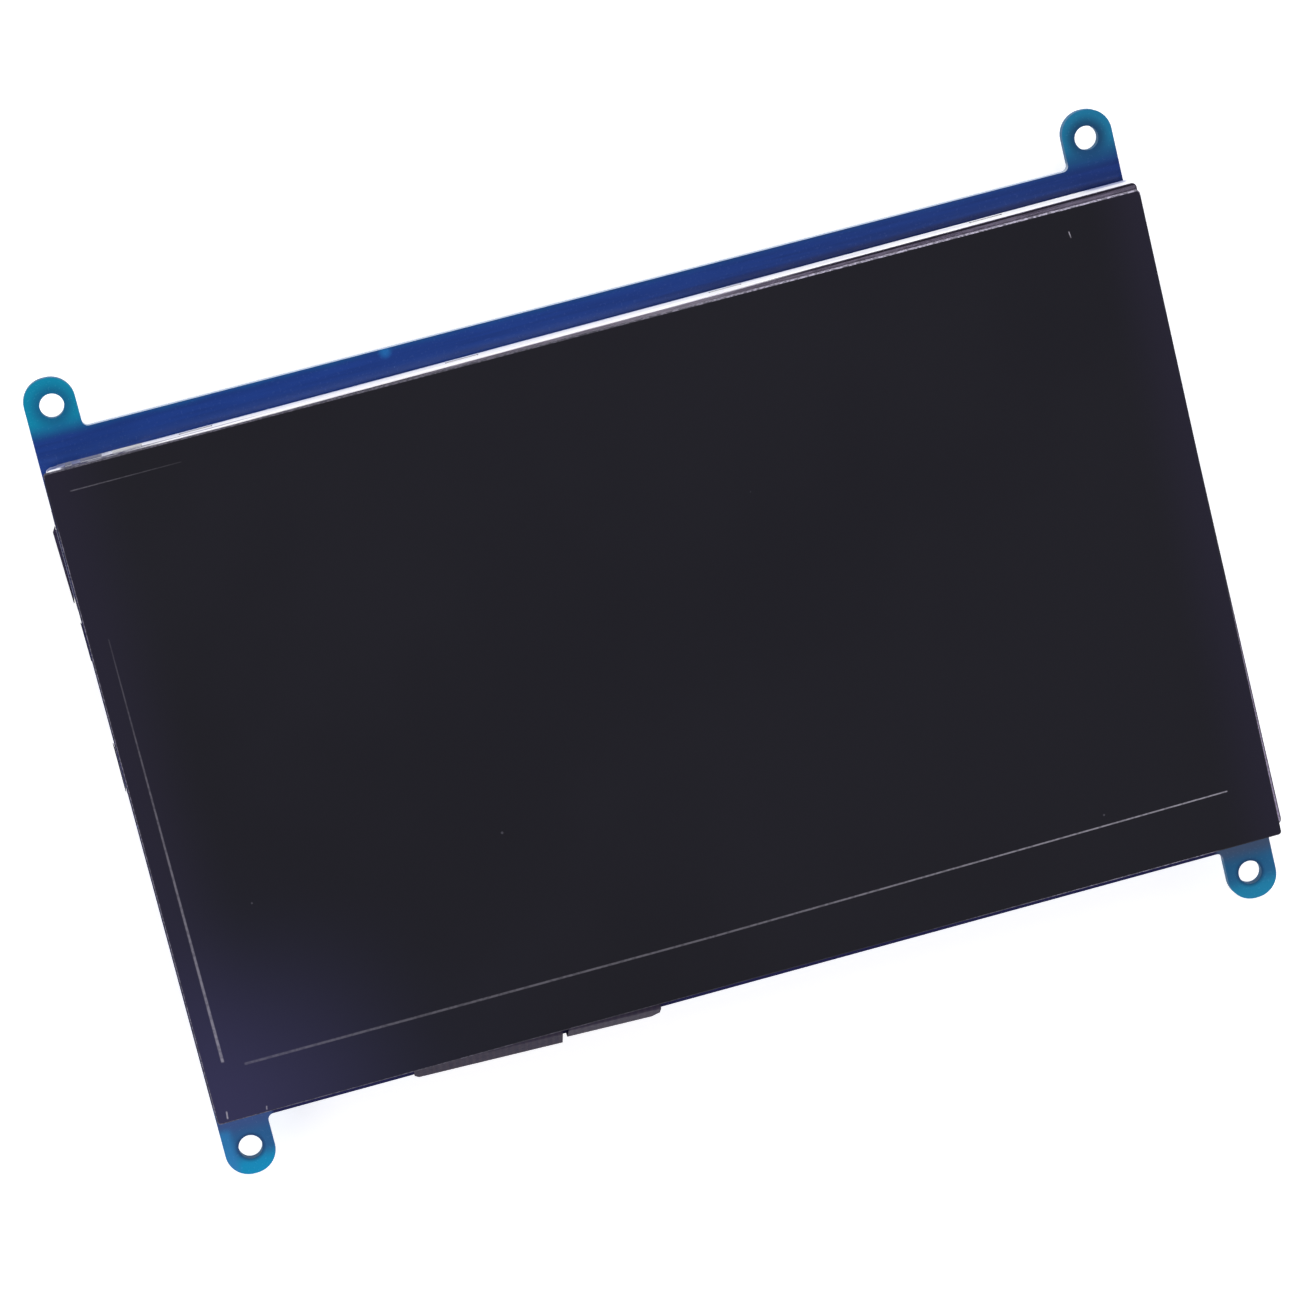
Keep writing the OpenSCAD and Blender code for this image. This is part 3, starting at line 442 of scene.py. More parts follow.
# Marks on the glass: start, end, and the width and strength at each
WINDOW_MARKS = [
    ((-76.1, -43.02), (-4.5, -43.11), (0.26, 0.2), (0.21, 0.31)),
    ((-4.5, -43.11), (76.2, -42.35), (0.2, 0.14), (0.31, 0.85)),
    ((-79.23, 23.5), (-79.15, -41.9), (0.11, 0.3), (0.08, 0.6)),
    ((-79.0, 45.8), (-62.6, 45.86), (0.12, 0.1), (0.25, 0.05)),
]
DUST_MARKS = [
    ((71.34, 45.65), (71.46, 44.75), (0.11, 0.09), (1.0, 0.8)),
    ((-80.5, -49.3), (-80.6, -50.4), (0.16, 0.16), (0.7, 0.9)),
    ((-74.6, -50.1), (-74.7, -50.6), (0.14, 0.14), (0.7, 0.7)),
]


def black_glass():
    """Cover glass over its black print, with the faint window edge, smears, a little dust and a painted
    reflection at the sides and lower left.
    """
    made, tree, shader = blank_material("black_cover_glass")
    place = object_place(tree)
    x, y, _ = split(place)
    cloud, pits = fine_grain(tree, 22.0, 1800.0)
    specks = dust_specks(tree, 420.0, 0.006, 0.08)
    black = streaked(cloud, srgb(30, 30, 35), srgb(32, 32, 37))
    # Painted reflection: mauve towards the sides and blue towards the lower left corner
    painted_side_reflection = largest(ramp_mm(x, -70, -83), ramp_mm(x, 74, 84))
    colour = mix_colour(painted_side_reflection, black, srgb(38, 36, 49))
    painted_corner_reflection = product(ramp_mm(x, -44, -82), ramp_mm(y, -18, -50), 0.84)
    colour = mix_colour(painted_corner_reflection, colour, srgb(52, 50, 78))
    marks = [segment_mask(place, *mark) for mark in WINDOW_MARKS + DUST_MARKS]
    broken = product(largest(*marks), ramp(pits, 0.3, 0.6, 0.6, 1.0))
    colour = mix_colour(broken, colour, srgb(172, 168, 178))
    colour = mix_colour(product(specks, 0.35), colour, srgb(120, 118, 128))
    feed(shader, "Base Color", colour)
    feed(shader, "Roughness", gloss(cloud, 0.05, 0.12))
    return made


def ground_glass():
    """Ground edge of the cover glass: dark, with a painted highlight that sparkles at the upper right and a
    lilac painted highlight line left and below.
    """
    made, tree, shader = blank_material("ground_glass_edge")
    x, y, _ = split(object_place(tree))
    cloud, pits = fine_grain(tree, 2600.0, 6000.0)
    # Painted highlight where the edge catches light: at the upper right, the left and the bottom
    on_top = ramp_mm(y, COVER_HIGH.y - 1, COVER_HIGH.y - 0.5)
    upper = product(on_top, ramp_mm(x, 0, 35, 0.2, 0.9))
    on_left = ramp_mm(x, COVER_LOW.x + 1, COVER_LOW.x + 0.5)
    left = product(on_left, ramp_mm(y, 38, 42, 0.35, 0.0))
    on_bottom = ramp_mm(y, COVER_LOW.y + 1, COVER_LOW.y + 0.5)
    to_right_lug = product(ramp_mm(x, 20, 58, 0.0, 0.6), ramp_mm(x, 74, 71))
    along_bottom = maths("ADD", ramp_mm(x, -70, 20, 0.3, 0.0), to_right_lug)
    lower = product(on_bottom, along_bottom)
    shown = largest(upper, left, lower)
    sparkle = ramp(cloud, 0.43, 0.6, 0.3, 1.0)
    colour = mix_colour(product(shown, sparkle), srgb(34, 33, 42), srgb(186, 180, 200))
    feed(shader, "Base Color", colour)
    shader.inputs["Roughness"].default_value = 0.7
    shader.inputs["Specular IOR Level"].default_value = 0.15
    bump(shader, pits, 0.5, GROUND_DEPTH)
    return made


def satin_metal(name, colour, rough, line_length=12.0):
    """Pressed sheet metal with fine drawn lines."""
    made, tree, shader = blank_material(name)
    lines = drawn_lines(tree, 2200.0, line_length)
    cloud, _ = fine_grain(tree, 300.0, 3200.0)
    feed(shader, "Base Color", mix_colour(cloud, colour, darker(colour, 0.82)))
    feed(shader, "Roughness", gloss(lines, rough - 0.08, rough + 0.1))
    shader.inputs["Metallic"].default_value = 1.0
    bump(shader, lines, 0.12, LINE_DEPTH)
    return made


def bright_tinplate():
    """Bright plated walls of the bezel, bluer towards the board as a painted reflection of it, most at the
    right end, and dark patches of painted reflection by the upper left corner, rough at the top.
    """
    made, tree, shader = blank_material("bright_tinplate")
    x, y, z = split(object_place(tree))
    lines = drawn_lines(tree, 2400.0, 40.0, 40.0)
    patches, _ = fine_grain(tree, 700.0, 3200.0)
    plate = mix_colour(ramp(lines, 0.35, 0.55), srgb(232, 230, 240), srgb(253, 253, 254))
    along_wall = maths("ADD", ramp_mm(x, 60, 20), ramp_mm(x, 74, 78))
    # Painted reflection of the blue board, low on the wall
    painted_board_reflection = product(ramp_mm(z, 4.0, 2.2, 0.0, 0.6), along_wall)
    plate = mix_colour(painted_board_reflection, plate, srgb(168, 178, 216))
    # Deeper painted reflection of the board low on the right end
    right_end_reflection = product(ramp_mm(z, 5.4, 3.6, 0.0, 0.75), ramp_mm(x, 75, 78))
    plate = mix_colour(right_end_reflection, plate, srgb(134, 140, 182))
    on_upper_wall = ramp_mm(y, *UPPER_WALL_Y)
    across_line = band_mm(z, 5.2, 5.8, 6.2, 6.6)
    along_line = product(ramp_mm(x, -79.9, -79.4), ramp_mm(x, -46, -56, 0.0, 0.7))
    dull_line = product(across_line, along_line, on_upper_wall)
    plate = mix_colour(dull_line, plate, srgb(134, 130, 150))
    cloudy = ramp(patches, 0.58, 0.44, 0.8, 1.0)
    # Patches by the upper left corner: dark painted reflection, and rougher in the upper part
    dark_patches = product(on_upper_wall, cloudy)
    high = ramp_mm(z, 4.9, 5.5)
    low = rest_of(high)
    dark_patches_high = product(dark_patches, high, ramp_mm(x, -79.7, -79.3), ramp_mm(x, -62, -71))
    dark_patches_low = product(dark_patches, low, ramp_mm(x, -68, -79))
    plate = mix_colour(dark_patches_high, plate, srgb(58, 56, 82))
    plate = mix_colour(dark_patches_low, plate, srgb(88, 94, 138))
    feed(shader, "Base Color", plate)
    dull = largest(gloss(lines, 0.34, 0.5), product(dark_patches_high, 0.95))
    feed(shader, "Roughness", dull)
    bump(shader, lines, 0.1, LINE_DEPTH)
    return made


def bezel_lip():
    """Front lip of the bezel: mauve along the top, paler in the middle, lilac on the right side, with
    painted shade along its outer edge on the right of the top.
    """
    made, tree, shader = blank_material("bezel_lip")
    place = object_place(tree)
    x, y, _ = split(place)
    lines = drawn_lines(tree, 2400.0, 16.0)
    right_side = product(ramp_mm(x, 82.7, 82.9), ramp_mm(y, 40.0, 20.0))
    mauve = streaked(lines, srgb(152, 144, 160), srgb(186, 178, 194))
    lilac = streaked(lines, srgb(180, 165, 196), srgb(208, 197, 221))
    colour = mix_colour(right_side, mauve, lilac)
    up_panel = dot(place, (-math.sin(PANEL_SKEW), math.cos(PANEL_SKEW), 0))
    # Painted shade along the lip's outer edge
    painted_edge_shade = product(ramp_mm(up_panel, 49.1, 49.2), ramp_mm(x, 20, 40), 0.9)
    feed(shader, "Base Color", mix_colour(painted_edge_shade, colour, srgb(30, 27, 36)))
    in_middle = product(band_mm(x, -40, -15, 12, 34), ramp_mm(y, *UPPER_LIP_Y), 0.6)
    plated = maths("SUBTRACT", 0.9, largest(in_middle, product(right_side, 0.8)))
    feed(shader, "Metallic", plated)
    feed(shader, "Roughness", gloss(lines, 0.2, 0.34))
    bump(shader, lines, 0.12, LINE_DEPTH)
    return made


def bezel_rim():
    """Rolled edge between the bezel's walls and lip: dark as painted shade, with a painted highlight along
    the left of the top.
    """
    made, tree, shader = blank_material("bezel_rim")
    x, y, _ = split(object_place(tree))
    lines = drawn_lines(tree, 2400.0, 16.0)
    along_top = largest(band_mm(x, -68, -60, 8, 34), ramp_mm(x, -79.3, -79.8))
    # Painted highlight along the left of the top edge; the rest of the rim is painted dark as shade
    painted_rim_highlight = product(along_top, ramp_mm(y, *UPPER_LIP_Y))
    dark = streaked(lines, srgb(38, 35, 46), srgb(52, 48, 62))
    bright = streaked(lines, srgb(226, 223, 236), srgb(250, 249, 253))
    feed(shader, "Base Color", mix_colour(painted_rim_highlight, dark, bright))
    feed(shader, "Metallic", ramp(painted_rim_highlight, 0.0, 1.0, 0.9, 0.0))
    feed(shader, "Roughness", gloss(lines, 0.26, 0.4))
    bump(shader, lines, 0.12, LINE_DEPTH)
    return made


def flex_film():
    """Dark mauve cover film over fine copper lines that run along the tail."""
    made, tree, shader = blank_material("mauve_flex_film")
    cloud, pits = fine_grain(tree, 350.0, 2400.0)
    lines = add_node(tree, "TexWave", {"Vector": object_place(tree), "Scale": 310.0}, bands_direction="X")
    film = mix_colour(cloud, srgb(47, 42, 59), srgb(55, 49, 67))
    shown = ramp(lines.outputs["Fac"], 0.45, 0.75, 0.0, 0.06)
    feed(shader, "Base Color", mix_colour(shown, film, srgb(120, 100, 96)))
    feed(shader, "Roughness", gloss(pits, 0.5, 0.65))
    shader.inputs["Specular IOR Level"].default_value = 0.03
    bump(shader, lines.outputs["Fac"], 0.1, LINE_DEPTH)
    return made


# Finishes of the small parts

CAN_PITCH = 8.0
CAN_FIRST_X = -71.0


def can_metal():
    """Drawn aluminium cans, each with a plain dark segment across its flat top."""
    made, tree, shader = blank_material("can_metal")
    x, _, z = split(object_place(tree))
    cloud, pits = fine_grain(tree, 300.0, 3200.0)
    from_first = maths("SUBTRACT", x, (CAN_FIRST_X - CAN_PITCH / 2) * MM)
    in_pitch = maths("FLOORED_MODULO", from_first, CAN_PITCH * MM)
    beside = maths("SUBTRACT", in_pitch, CAN_PITCH / 2 * MM)
    segment = product(ramp_mm(beside, -1.5, -1.6), ramp_mm(z, -5.3, -5.38))
    metal = mix_colour(cloud, srgb(214, 215, 218), srgb(186, 187, 192))
    feed(shader, "Base Color", mix_colour(segment, metal, srgb(30, 30, 33)))
    feed(shader, "Metallic", ramp(segment, 0.0, 1.0, 1.0, 0.0))
    feed(shader, "Roughness", gloss(pits, 0.28, 0.42))
    bump(shader, pits, 0.05, PIT_DEPTH)
    return made


def copper_winding():
    """Turns of varnished copper wire round a drum core, with painted shade in the grooves between the turns.
    """
    made, tree, shader = blank_material("copper_winding")
    turns = add_node(tree, "TexWave", {"Vector": object_place(tree), "Scale": 900.0}, bands_direction="Z")
    # Darker between the turns: painted shade in the grooves
    wire = mix_colour(turns.outputs["Fac"], srgb(92, 46, 26), srgb(196, 112, 66))
    feed(shader, "Base Color", wire)
    feed(shader, "Roughness", ramp(turns.outputs["Fac"], 0.0, 1.0, 0.5, 0.28))
    shader.inputs["Metallic"].default_value = 0.7
    bump(shader, turns.outputs["Fac"], 0.6, WIRE_DEPTH)
    return made


MATERIALS = [
    grained("white_moulding", srgb(226, 226, 222), 0.5),
    grained("clear_sheet", srgb(214, 224, 230), 0.2, relief=0.01),
    grained("dark_film", srgb(34, 34, 38), 0.3, relief=0.01),
    grained("dark_glass", srgb(46, 46, 52), 0.12, relief=0.0),
    grained("black_foam", srgb(30, 29, 31), 0.9, pits=1600.0, relief=0.5),
    grained("white_foam_tape", srgb(222, 220, 212), 0.9, pits=1400.0, relief=0.5),
    grained("chip_resin", srgb(38, 38, 41), 0.55, cloud=500.0, pits=4200.0, relief=0.25),
    grained("tin", srgb(196, 198, 202), 0.32, metallic=1.0, pits=5200.0, relief=0.1),
    grained("cream_moulding", srgb(214, 202, 176), 0.45),
    grained("brown_latch", srgb(52, 43, 38), 0.45),
    grained("gold_plate", srgb(222, 182, 100), 0.25, metallic=1.0),
    satin_metal("nickel_plate", srgb(208, 206, 202), 0.3),
    # A shaded copy of the nickel: painted shade on the socket lips
    satin_metal("shaded_nickel", srgb(40, 36, 54), 0.45),
    satin_metal("tray_metal", srgb(206, 205, 208), 0.4, 16.0),
    bezel_rim(),
    bright_tinplate(),
    bezel_lip(),
    grained("black_moulding", srgb(32, 32, 34), 0.45),
    can_metal(),
    copper_winding(),
    grained("ferrite", srgb(66, 66, 70), 0.6, pits=2600.0, relief=0.4),
    grained("tan_ceramic", srgb(168, 134, 98), 0.4),
    grained("white_ceramic", srgb(224, 222, 214), 0.4),
    grained("resistor_film", srgb(26, 26, 28), 0.25),
    grained("lamp_resin", srgb(232, 222, 170), 0.25, relief=0.01),
    grained("raised_mask", srgb(56, 100, 184), 0.22, cloud=260.0, pits=2600.0),
    grained("white_print", srgb(228, 230, 232), 0.6, cloud=800.0, pits=4000.0),
    solder_mask(),
    raw_board_edge(),
    black_glass(),
    ground_glass(),
    flex_film(),
]
# A name that is taken gets a number after a dot
FINISHES = {made.name.split(".")[0]: made for made in MATERIALS}

NODE_FINISHES = {
    "white_moulding": ["panel_frame", "reflector_film", "diffuser_film"],
    "clear_sheet": ["light_guide", "lower_prism_film", "upper_prism_film"],
    "dark_film": ["front_polariser", "rear_polariser"],
    "dark_glass": ["cell_glass", "filter_glass", "touch_sensor"],
    "black_foam": ["cell_cushion", "touch_gasket"],
    "white_foam_tape": ["mounting_tape"],
    "chip_resin": ["driver_chips", "touch_chip", "scaler_chip", "bridge_chip", "memory_chip", "regulators",
                   "boost_chip", "rectifiers", "chip_resistors"],
    "cream_moulding": ["panel_socket", "touch_socket"],
    "brown_latch": ["panel_latch", "touch_latch"],
    "gold_plate": ["panel_contacts", "touch_contacts", "video_contacts", "power_contacts", "data_contacts"],
    "nickel_plate": ["video_shell", "power_shell", "data_shell", "switch_case", "crystal_cans"],
    "bright_tinplate": ["front_bezel"],
    "tray_metal": ["rear_tray"],
    "black_moulding": ["video_tongue", "power_tongue", "data_tongue", "switch_base", "switch_slider",
                       "crystal_bases"],
    "can_metal": ["electrolytic_capacitors"],
    "ferrite": ["power_inductors"],
    "tan_ceramic": ["chip_capacitors"],
    "lamp_resin": ["backlight_lamps", "indicator_lamp"],
    "blue_solder_mask": ["circuit_board"],
    "black_cover_glass": ["cover_glass"],
    "mauve_flex_film": ["panel_flex", "touch_flex", "lamp_strip"],
}


def paint_nodes():
    """Gives every node its main finish."""
    for finish, members in NODE_FINISHES.items():
        for member in members:
            slots = NODES[member].data.materials
            slots.clear()
            slots.append(FINISHES[finish])


def paint_faces(node, finish, belongs):
    """Gives the node's faces that belong, by their centre in millimetres and normal, a further finish."""
    mesh = NODES[node].data
    mesh.materials.append(FINISHES[finish])
    index = len(mesh.materials) - 1
    for face in mesh.polygons:
        if belongs(face.center / MM, face.normal):
            face.material_index = index


def paint_edges():
    """Further finishes on the edges of the board and the glass, and on the bezel's lip and rim."""
    paint_faces("circuit_board", "routed_board_edge", lambda at, normal: abs(normal.z) < 0.5)
    paint_faces("cover_glass", "ground_glass_edge", lambda at, normal: normal.z < 0.95)
    paint_faces("front_bezel", "bezel_lip", lambda at, normal: normal.z > 0.97)
    paint_faces("front_bezel", "bezel_rim", lambda at, normal: 0.6 < normal.z < 0.97)


# Modelling helpers

def select_only(*pieces):
    bpy.ops.object.select_all(action="DESELECT")
    for piece in pieces:
        piece.select_set(True)
    bpy.context.view_layer.objects.active = pieces[0]


def add_object(name, data):
    made = bpy.data.objects.new(name, data)
    bpy.context.scene.collection.objects.link(made)
    return made


def add_piece(name, add_primitive, low, high, **settings):
    """A primitive of unit size stretched between two corners given in millimetres."""
    bpy.ops.object.select_all(action="DESELECT")
    add_primitive(**settings)
    piece = bpy.context.object
    piece.name = name
    piece.location = (Vector(low) + Vector(high)) / 2 * MM
    piece.scale = (Vector(high) - Vector(low)) * MM
    bpy.ops.object.transform_apply(location=True, rotation=True, scale=True)
    return piece


def edit_chosen(piece, kind, chosen):
    """Edit mode with only the chosen faces or points selected."""
    bpy.ops.object.mode_set(mode="OBJECT")
    select_only(piece)
    bpy.context.tool_settings.mesh_select_mode = (kind == "points", False, kind == "faces")
    mesh = piece.data
    for part in (*mesh.vertices, *mesh.edges, *mesh.polygons):
        part.select = False
    if kind == "faces":
        for face in mesh.polygons:
            face.select = chosen(face.center / MM, face.normal)
    else:
        for point in mesh.vertices:
            point.select = chosen(point.co / MM)
    bpy.ops.object.mode_set(mode="EDIT")


def draw_out(*move):
    bpy.ops.mesh.extrude_region_move(TRANSFORM_OT_translate={"value": Vector(move) * MM})


def shift(*move):
    bpy.ops.transform.translate(value=Vector(move) * MM)


def join_pieces(name, pieces):
    select_only(*pieces)
    bpy.ops.object.join()
    pieces[0].name = name
    return pieces[0]


def join_copies(name, mould, places):
    """Copies of a mould, each with its own mesh, set at (x, y, turn, size) and joined into one piece."""
    copies = []
    for x, y, turn, size in places:
        copy = add_object(name, mould.data.copy())
        copy.location = Vector((x, y, 0)) * MM
        copy.rotation_euler.z = math.radians(turn)
        copy.scale = size
        copies.append(copy)
    bpy.data.objects.remove(mould)
    select_only(*copies)
    bpy.ops.object.transform_apply(location=True, rotation=True, scale=True)
    return join_pieces(name, copies)


def thicken(piece, thickness):
    """Gives a flat piece a thickness, half of it to each side."""
    select_only(piece)
    made = piece.modifiers.new("thickness", "SOLIDIFY")
    made.thickness = thickness * MM
    made.offset = 0.0
    bpy.ops.object.modifier_apply(modifier=made.name)
    bpy.ops.object.mode_set(mode="EDIT")
    bpy.ops.mesh.select_all(action="SELECT")
    bpy.ops.mesh.normals_make_consistent(inside=False)
    bpy.ops.object.mode_set(mode="OBJECT")


def paint_piece(piece, finishes, finish_of=lambda at, normal: 0):
    """Gives a piece its finishes, chosen for each face by its centre in millimetres and its normal."""
    piece.data.materials.clear()
    for finish in finishes:
        piece.data.materials.append(FINISHES[finish])
    for face in piece.data.polygons:
        face.material_index = finish_of(face.center / MM, face.normal)


def settle(piece, slot, *replaced):
    """Gives a finished piece its body and hides the nodes that it stands for; the slot is not used."""
    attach(piece, MAIN_BODY)
    if replaced:
        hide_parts(*replaced)


def solid_boxes(node):
    """Lowest and highest corner of each separate solid in a node, in millimetres."""
    mesh = NODES[node].data
    places = [tuple(round(c / MM, 3) for c in point.co) for point in mesh.vertices]
    parent = {place: place for place in places}

    def root(place):
        while parent[place] != place:
            place = parent[place]
        return place

    for edge in mesh.edges:
        parent[root(places[edge.vertices[0]])] = root(places[edge.vertices[1]])
    solids = {}
    for place in parent:
        solids.setdefault(root(place), []).append(place)
    return [(Vector(map(min, zip(*s))), Vector(map(max, zip(*s)))) for s in solids.values()]


# Details on the back of the board

# How far details reach into the board
SINK = 0.03
AS_MADE = (1, 1, 1)
# Chip parts and their solder
CHIP_HALF_L = 0.8
CHIP_HALF_W = 0.4
CHIP_BAND_AT = 0.5
CHIP_BEVEL = 0.05
FILLET_CLIMB = 0.55
FILLET_REACH = 0.28
FILLET_TOE = 0.1
FILM_MARGIN = 0.03
FILM_HEIGHT = 0.02


def chip_mould(name, height):
    """A small chip part lying on the board: a block with banded ends and solder drawn up against them."""
    corner = Vector((CHIP_HALF_L, CHIP_HALF_W, 0))
    lowest = -corner - Vector((0, 0, height))
    mould = add_piece(name, bpy.ops.mesh.primitive_cube_add, lowest, corner, size=1)
    bpy.ops.object.mode_set(mode="EDIT")
    solder_top = -FILLET_CLIMB * height
    cuts = [
        ((CHIP_BAND_AT * MM, 0, 0), (1, 0, 0)),
        ((-CHIP_BAND_AT * MM, 0, 0), (1, 0, 0)),
        ((0, 0, solder_top * MM), (0, 0, 1)),
    ]
    for point, normal in cuts:
        bpy.ops.mesh.select_all(action="SELECT")
        bpy.ops.mesh.bisect(plane_co=point, plane_no=normal)
    bpy.ops.mesh.select_all(action="DESELECT")
    bpy.ops.mesh.edges_select_sharp(sharpness=math.radians(40))
    bpy.ops.mesh.bevel(offset=CHIP_BEVEL * MM, segments=1)
    for side in (-1, 1):
        edit_chosen(mould, "faces", lambda at, normal: normal.x * side > 0.95 and at.z > solder_top)
        draw_out(side * FILLET_REACH, 0, 0)
        edit_chosen(mould, "points", lambda at: at.x * side > CHIP_HALF_L + 0.1 and at.z < -0.1)
        shift(0, 0, -solder_top - FILLET_TOE)
    bpy.ops.object.mode_set(mode="OBJECT")
    return mould


def chip_places(node):
    """Middle and turn of every chip part in a node."""
    places = []
    for low, high in solid_boxes(node):
        middle = (low + high) / 2
        turn = 0 if high.x - low.x > high.y - low.y else 90
        places.append((middle.x, middle.y, turn, AS_MADE))
    return places


def chip_capacitors():
    """Capacitors with tinned ends, in place of the plain blocks."""
    node = "chip_capacitors"
    mould = chip_mould("capacitor_mould", -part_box(node)[0].z / MM)
    paint_piece(mould, ["tan_ceramic", "tin"], lambda at, normal: int(abs(at.x) > CHIP_BAND_AT - CHIP_BEVEL))
    settle(join_copies("soldered_capacitors", mould, chip_places(node)), "ceramic", node)


def chip_resistors():
    """Resistors with tinned ends and a dark film on top, in place of the plain blocks."""
    node = "chip_resistors"
    height = -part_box(node)[0].z / MM
    mould = chip_mould("resistor_mould", height)
    edit_chosen(mould, "faces", lambda at, normal: normal.z < -0.95 and abs(at.x) < CHIP_BAND_AT)
    bpy.ops.mesh.inset(thickness=FILM_MARGIN * MM, depth=0)
    draw_out(0, 0, -FILM_HEIGHT)
    bpy.ops.object.mode_set(mode="OBJECT")

    def finish_of(at, normal):
        if abs(at.x) > CHIP_BAND_AT:
            return 1
        return 2 if at.z < -height - FILM_HEIGHT / 2 else 0

    paint_piece(mould, ["white_ceramic", "tin", "resistor_film"], finish_of)
    settle(join_copies("soldered_resistors", mould, chip_places(node)), "ceramic", node)


ACROSS_X = ((1, 0), (-1, 0))
ACROSS_Y = ((0, 1), (0, -1))
FOUR_SIDES = ACROSS_X + ACROSS_Y
# Rows of pads by node: sides, count, pitch, length and width
PAD_ROWS = [
    ("scaler_chip", FOUR_SIDES, 25, 0.5, 0.85, 0.3),
    ("bridge_chip", FOUR_SIDES, 12, 0.5, 0.85, 0.3),
    ("memory_chip", ACROSS_Y, 4, 1.27, 1.0, 0.6),
    ("regulators", ((1, 0),), 3, 2.3, 1.6, 1.1),
    ("regulators", ((-1, 0),), 1, 1, 1.6, 3.4),
    ("boost_chip", ACROSS_X, 3, 0.95, 0.7, 0.6),
    ("rectifiers", ACROSS_X, 1, 1, 1.2, 2.0),
    ("power_inductors", ACROSS_X, 1, 1, 1.6, 3.0),
    ("electrolytic_capacitors", ACROSS_X, 1, 1, 1.8, 1.8),
    ("indicator_lamp", ACROSS_X, 1, 1, 0.9, 1.4),
]
FOOT_NODES = NODE_FINISHES["gold_plate"]
FOOT_MARGIN = 0.16
PAD_STANDS_OUT = 0.35
PAD_HEIGHT = 0.05
SOLDER_MARGIN = 0.14
SOLDER_HEIGHT = 0.035


def pad_places():
    """Middle, turn and size of every pad."""
    places = []
    for node, sides, count, pitch, length, width in PAD_ROWS:
        for low, high in solid_boxes(node):
            middle, half = (low + high) / 2, (high - low) / 2
            for x, y in sides:
                reach = (half.x if x else half.y) + PAD_STANDS_OUT - length / 2
                for i in range(count):
                    along = (i - (count - 1) / 2) * pitch
                    at = (middle.x + x * reach + y * along, middle.y + y * reach + x * along)
                    places.append((*at, 0 if x else 90, (length, width, 1)))
    for node in FOOT_NODES:
        for low, high in solid_boxes(node):
            if high.z > -0.01:
                middle, size = (low + high) / 2, high - low
                places.append((middle.x, middle.y, 0, (size.x + FOOT_MARGIN, size.y + FOOT_MARGIN, 1)))
    return places


def solder_pads():
    """Tinned pads with rounded solder on them, under every lead and foot."""
    mould = add_piece("pad_mould", bpy.ops.mesh.primitive_cube_add, (-0.5, -0.5, -PAD_HEIGHT),
                      (0.5, 0.5, SINK), size=1)
    edit_chosen(mould, "faces", lambda at, normal: normal.z < -0.9)
    bpy.ops.mesh.inset(thickness=SOLDER_MARGIN * MM, depth=0)
    shift(0, 0, -SOLDER_HEIGHT)
    bpy.ops.object.mode_set(mode="OBJECT")
    paint_piece(mould, ["tin"])
    settle(join_copies("solder_pads", mould, pad_places()), "shell")


# Tracks by width, start and moves
TRACK_AT = -0.01
THICKNESS = 0.05
STUB = 0.1
SIGNAL = 0.2
PANEL_BUS = [(SIGNAL, (-40.25 + 0.5 * i, -41.0), [(0, 9.0), (5.75, 5.75), (0, 38.5)]) for i in range(6)]
VIDEO_FEET = [34.3 + 0.5 * round(2.5 * i - 8.75) for i in range(8)]
VIDEO_RISE = [28.5 + 1.6 * i - foot for i, foot in enumerate(VIDEO_FEET)]
VIDEO_FAN = [(SIGNAL, (-69.7, foot), [(0.3, 0), (abs(rise), rise), (2.8 - abs(rise), 0)])
             for foot, rise in zip(VIDEO_FEET, VIDEO_RISE)]
VIDEO_BUS = [(SIGNAL, (-60.6, 28.5 + 1.6 * i), [(1.0, 0), (8.0, -8.0)]) for i in range(8)]
DATA_PAIR = [(SIGNAL, (-76.0, 3.25 - 0.65 * i), [(14.4, 0), (5.25 - 0.5 * i, 0.5 * i - 5.25), (0, -3.0)])
             for i in range(2)]
TOUCH_BUS = [(SIGNAL, (-25 + 1.6 * i, -33.0), [(0, 3.0), (-4.0, 4.0), (0, 14.0)]) for i in range(5)]
MEMORY_BUS = [(SIGNAL, (-18.905 + 1.27 * i, 26.9), [(0, -0.6 - 0.9 * i), (-1, -1), (-4.4 - 1.27 * i, 0)])
              for i in range(4)]
SCALER_BUS = [(SIGNAL, (-34.5 + 0.5 * i, 28.2), [(0, 3), (4, 4), (0, 3.0 + 0.9 * i)]) for i in range(6)]
POWER_TRACKS = [
    (1.0, (-75.8, 20.7), [(2.6, 0), (3.3, -3.3), (0, -10.4)]),
    (0.9, (-62.6, 9.3), [(4.8, 0)]),
    (0.7, (-64.6, -26.05), [(4.3, 0)]),
    (1.0, (-54.3, -28.3), [(0, -5.0)]),
    (0.9, (-68.9, -33.0), [(-2.4, 0), (-3.0, -3.0), (0, -5.6)]),
    (0.9, (-54.2, -34.0), [(2.0, 0), (5.0, 5.0), (0, 4.0)]),
]
TRACKS = PANEL_BUS + VIDEO_FAN + VIDEO_BUS + DATA_PAIR + TOUCH_BUS + MEMORY_BUS + SCALER_BUS + POWER_TRACKS
ENDS_IN_VIAS = VIDEO_BUS + TOUCH_BUS + MEMORY_BUS + SCALER_BUS


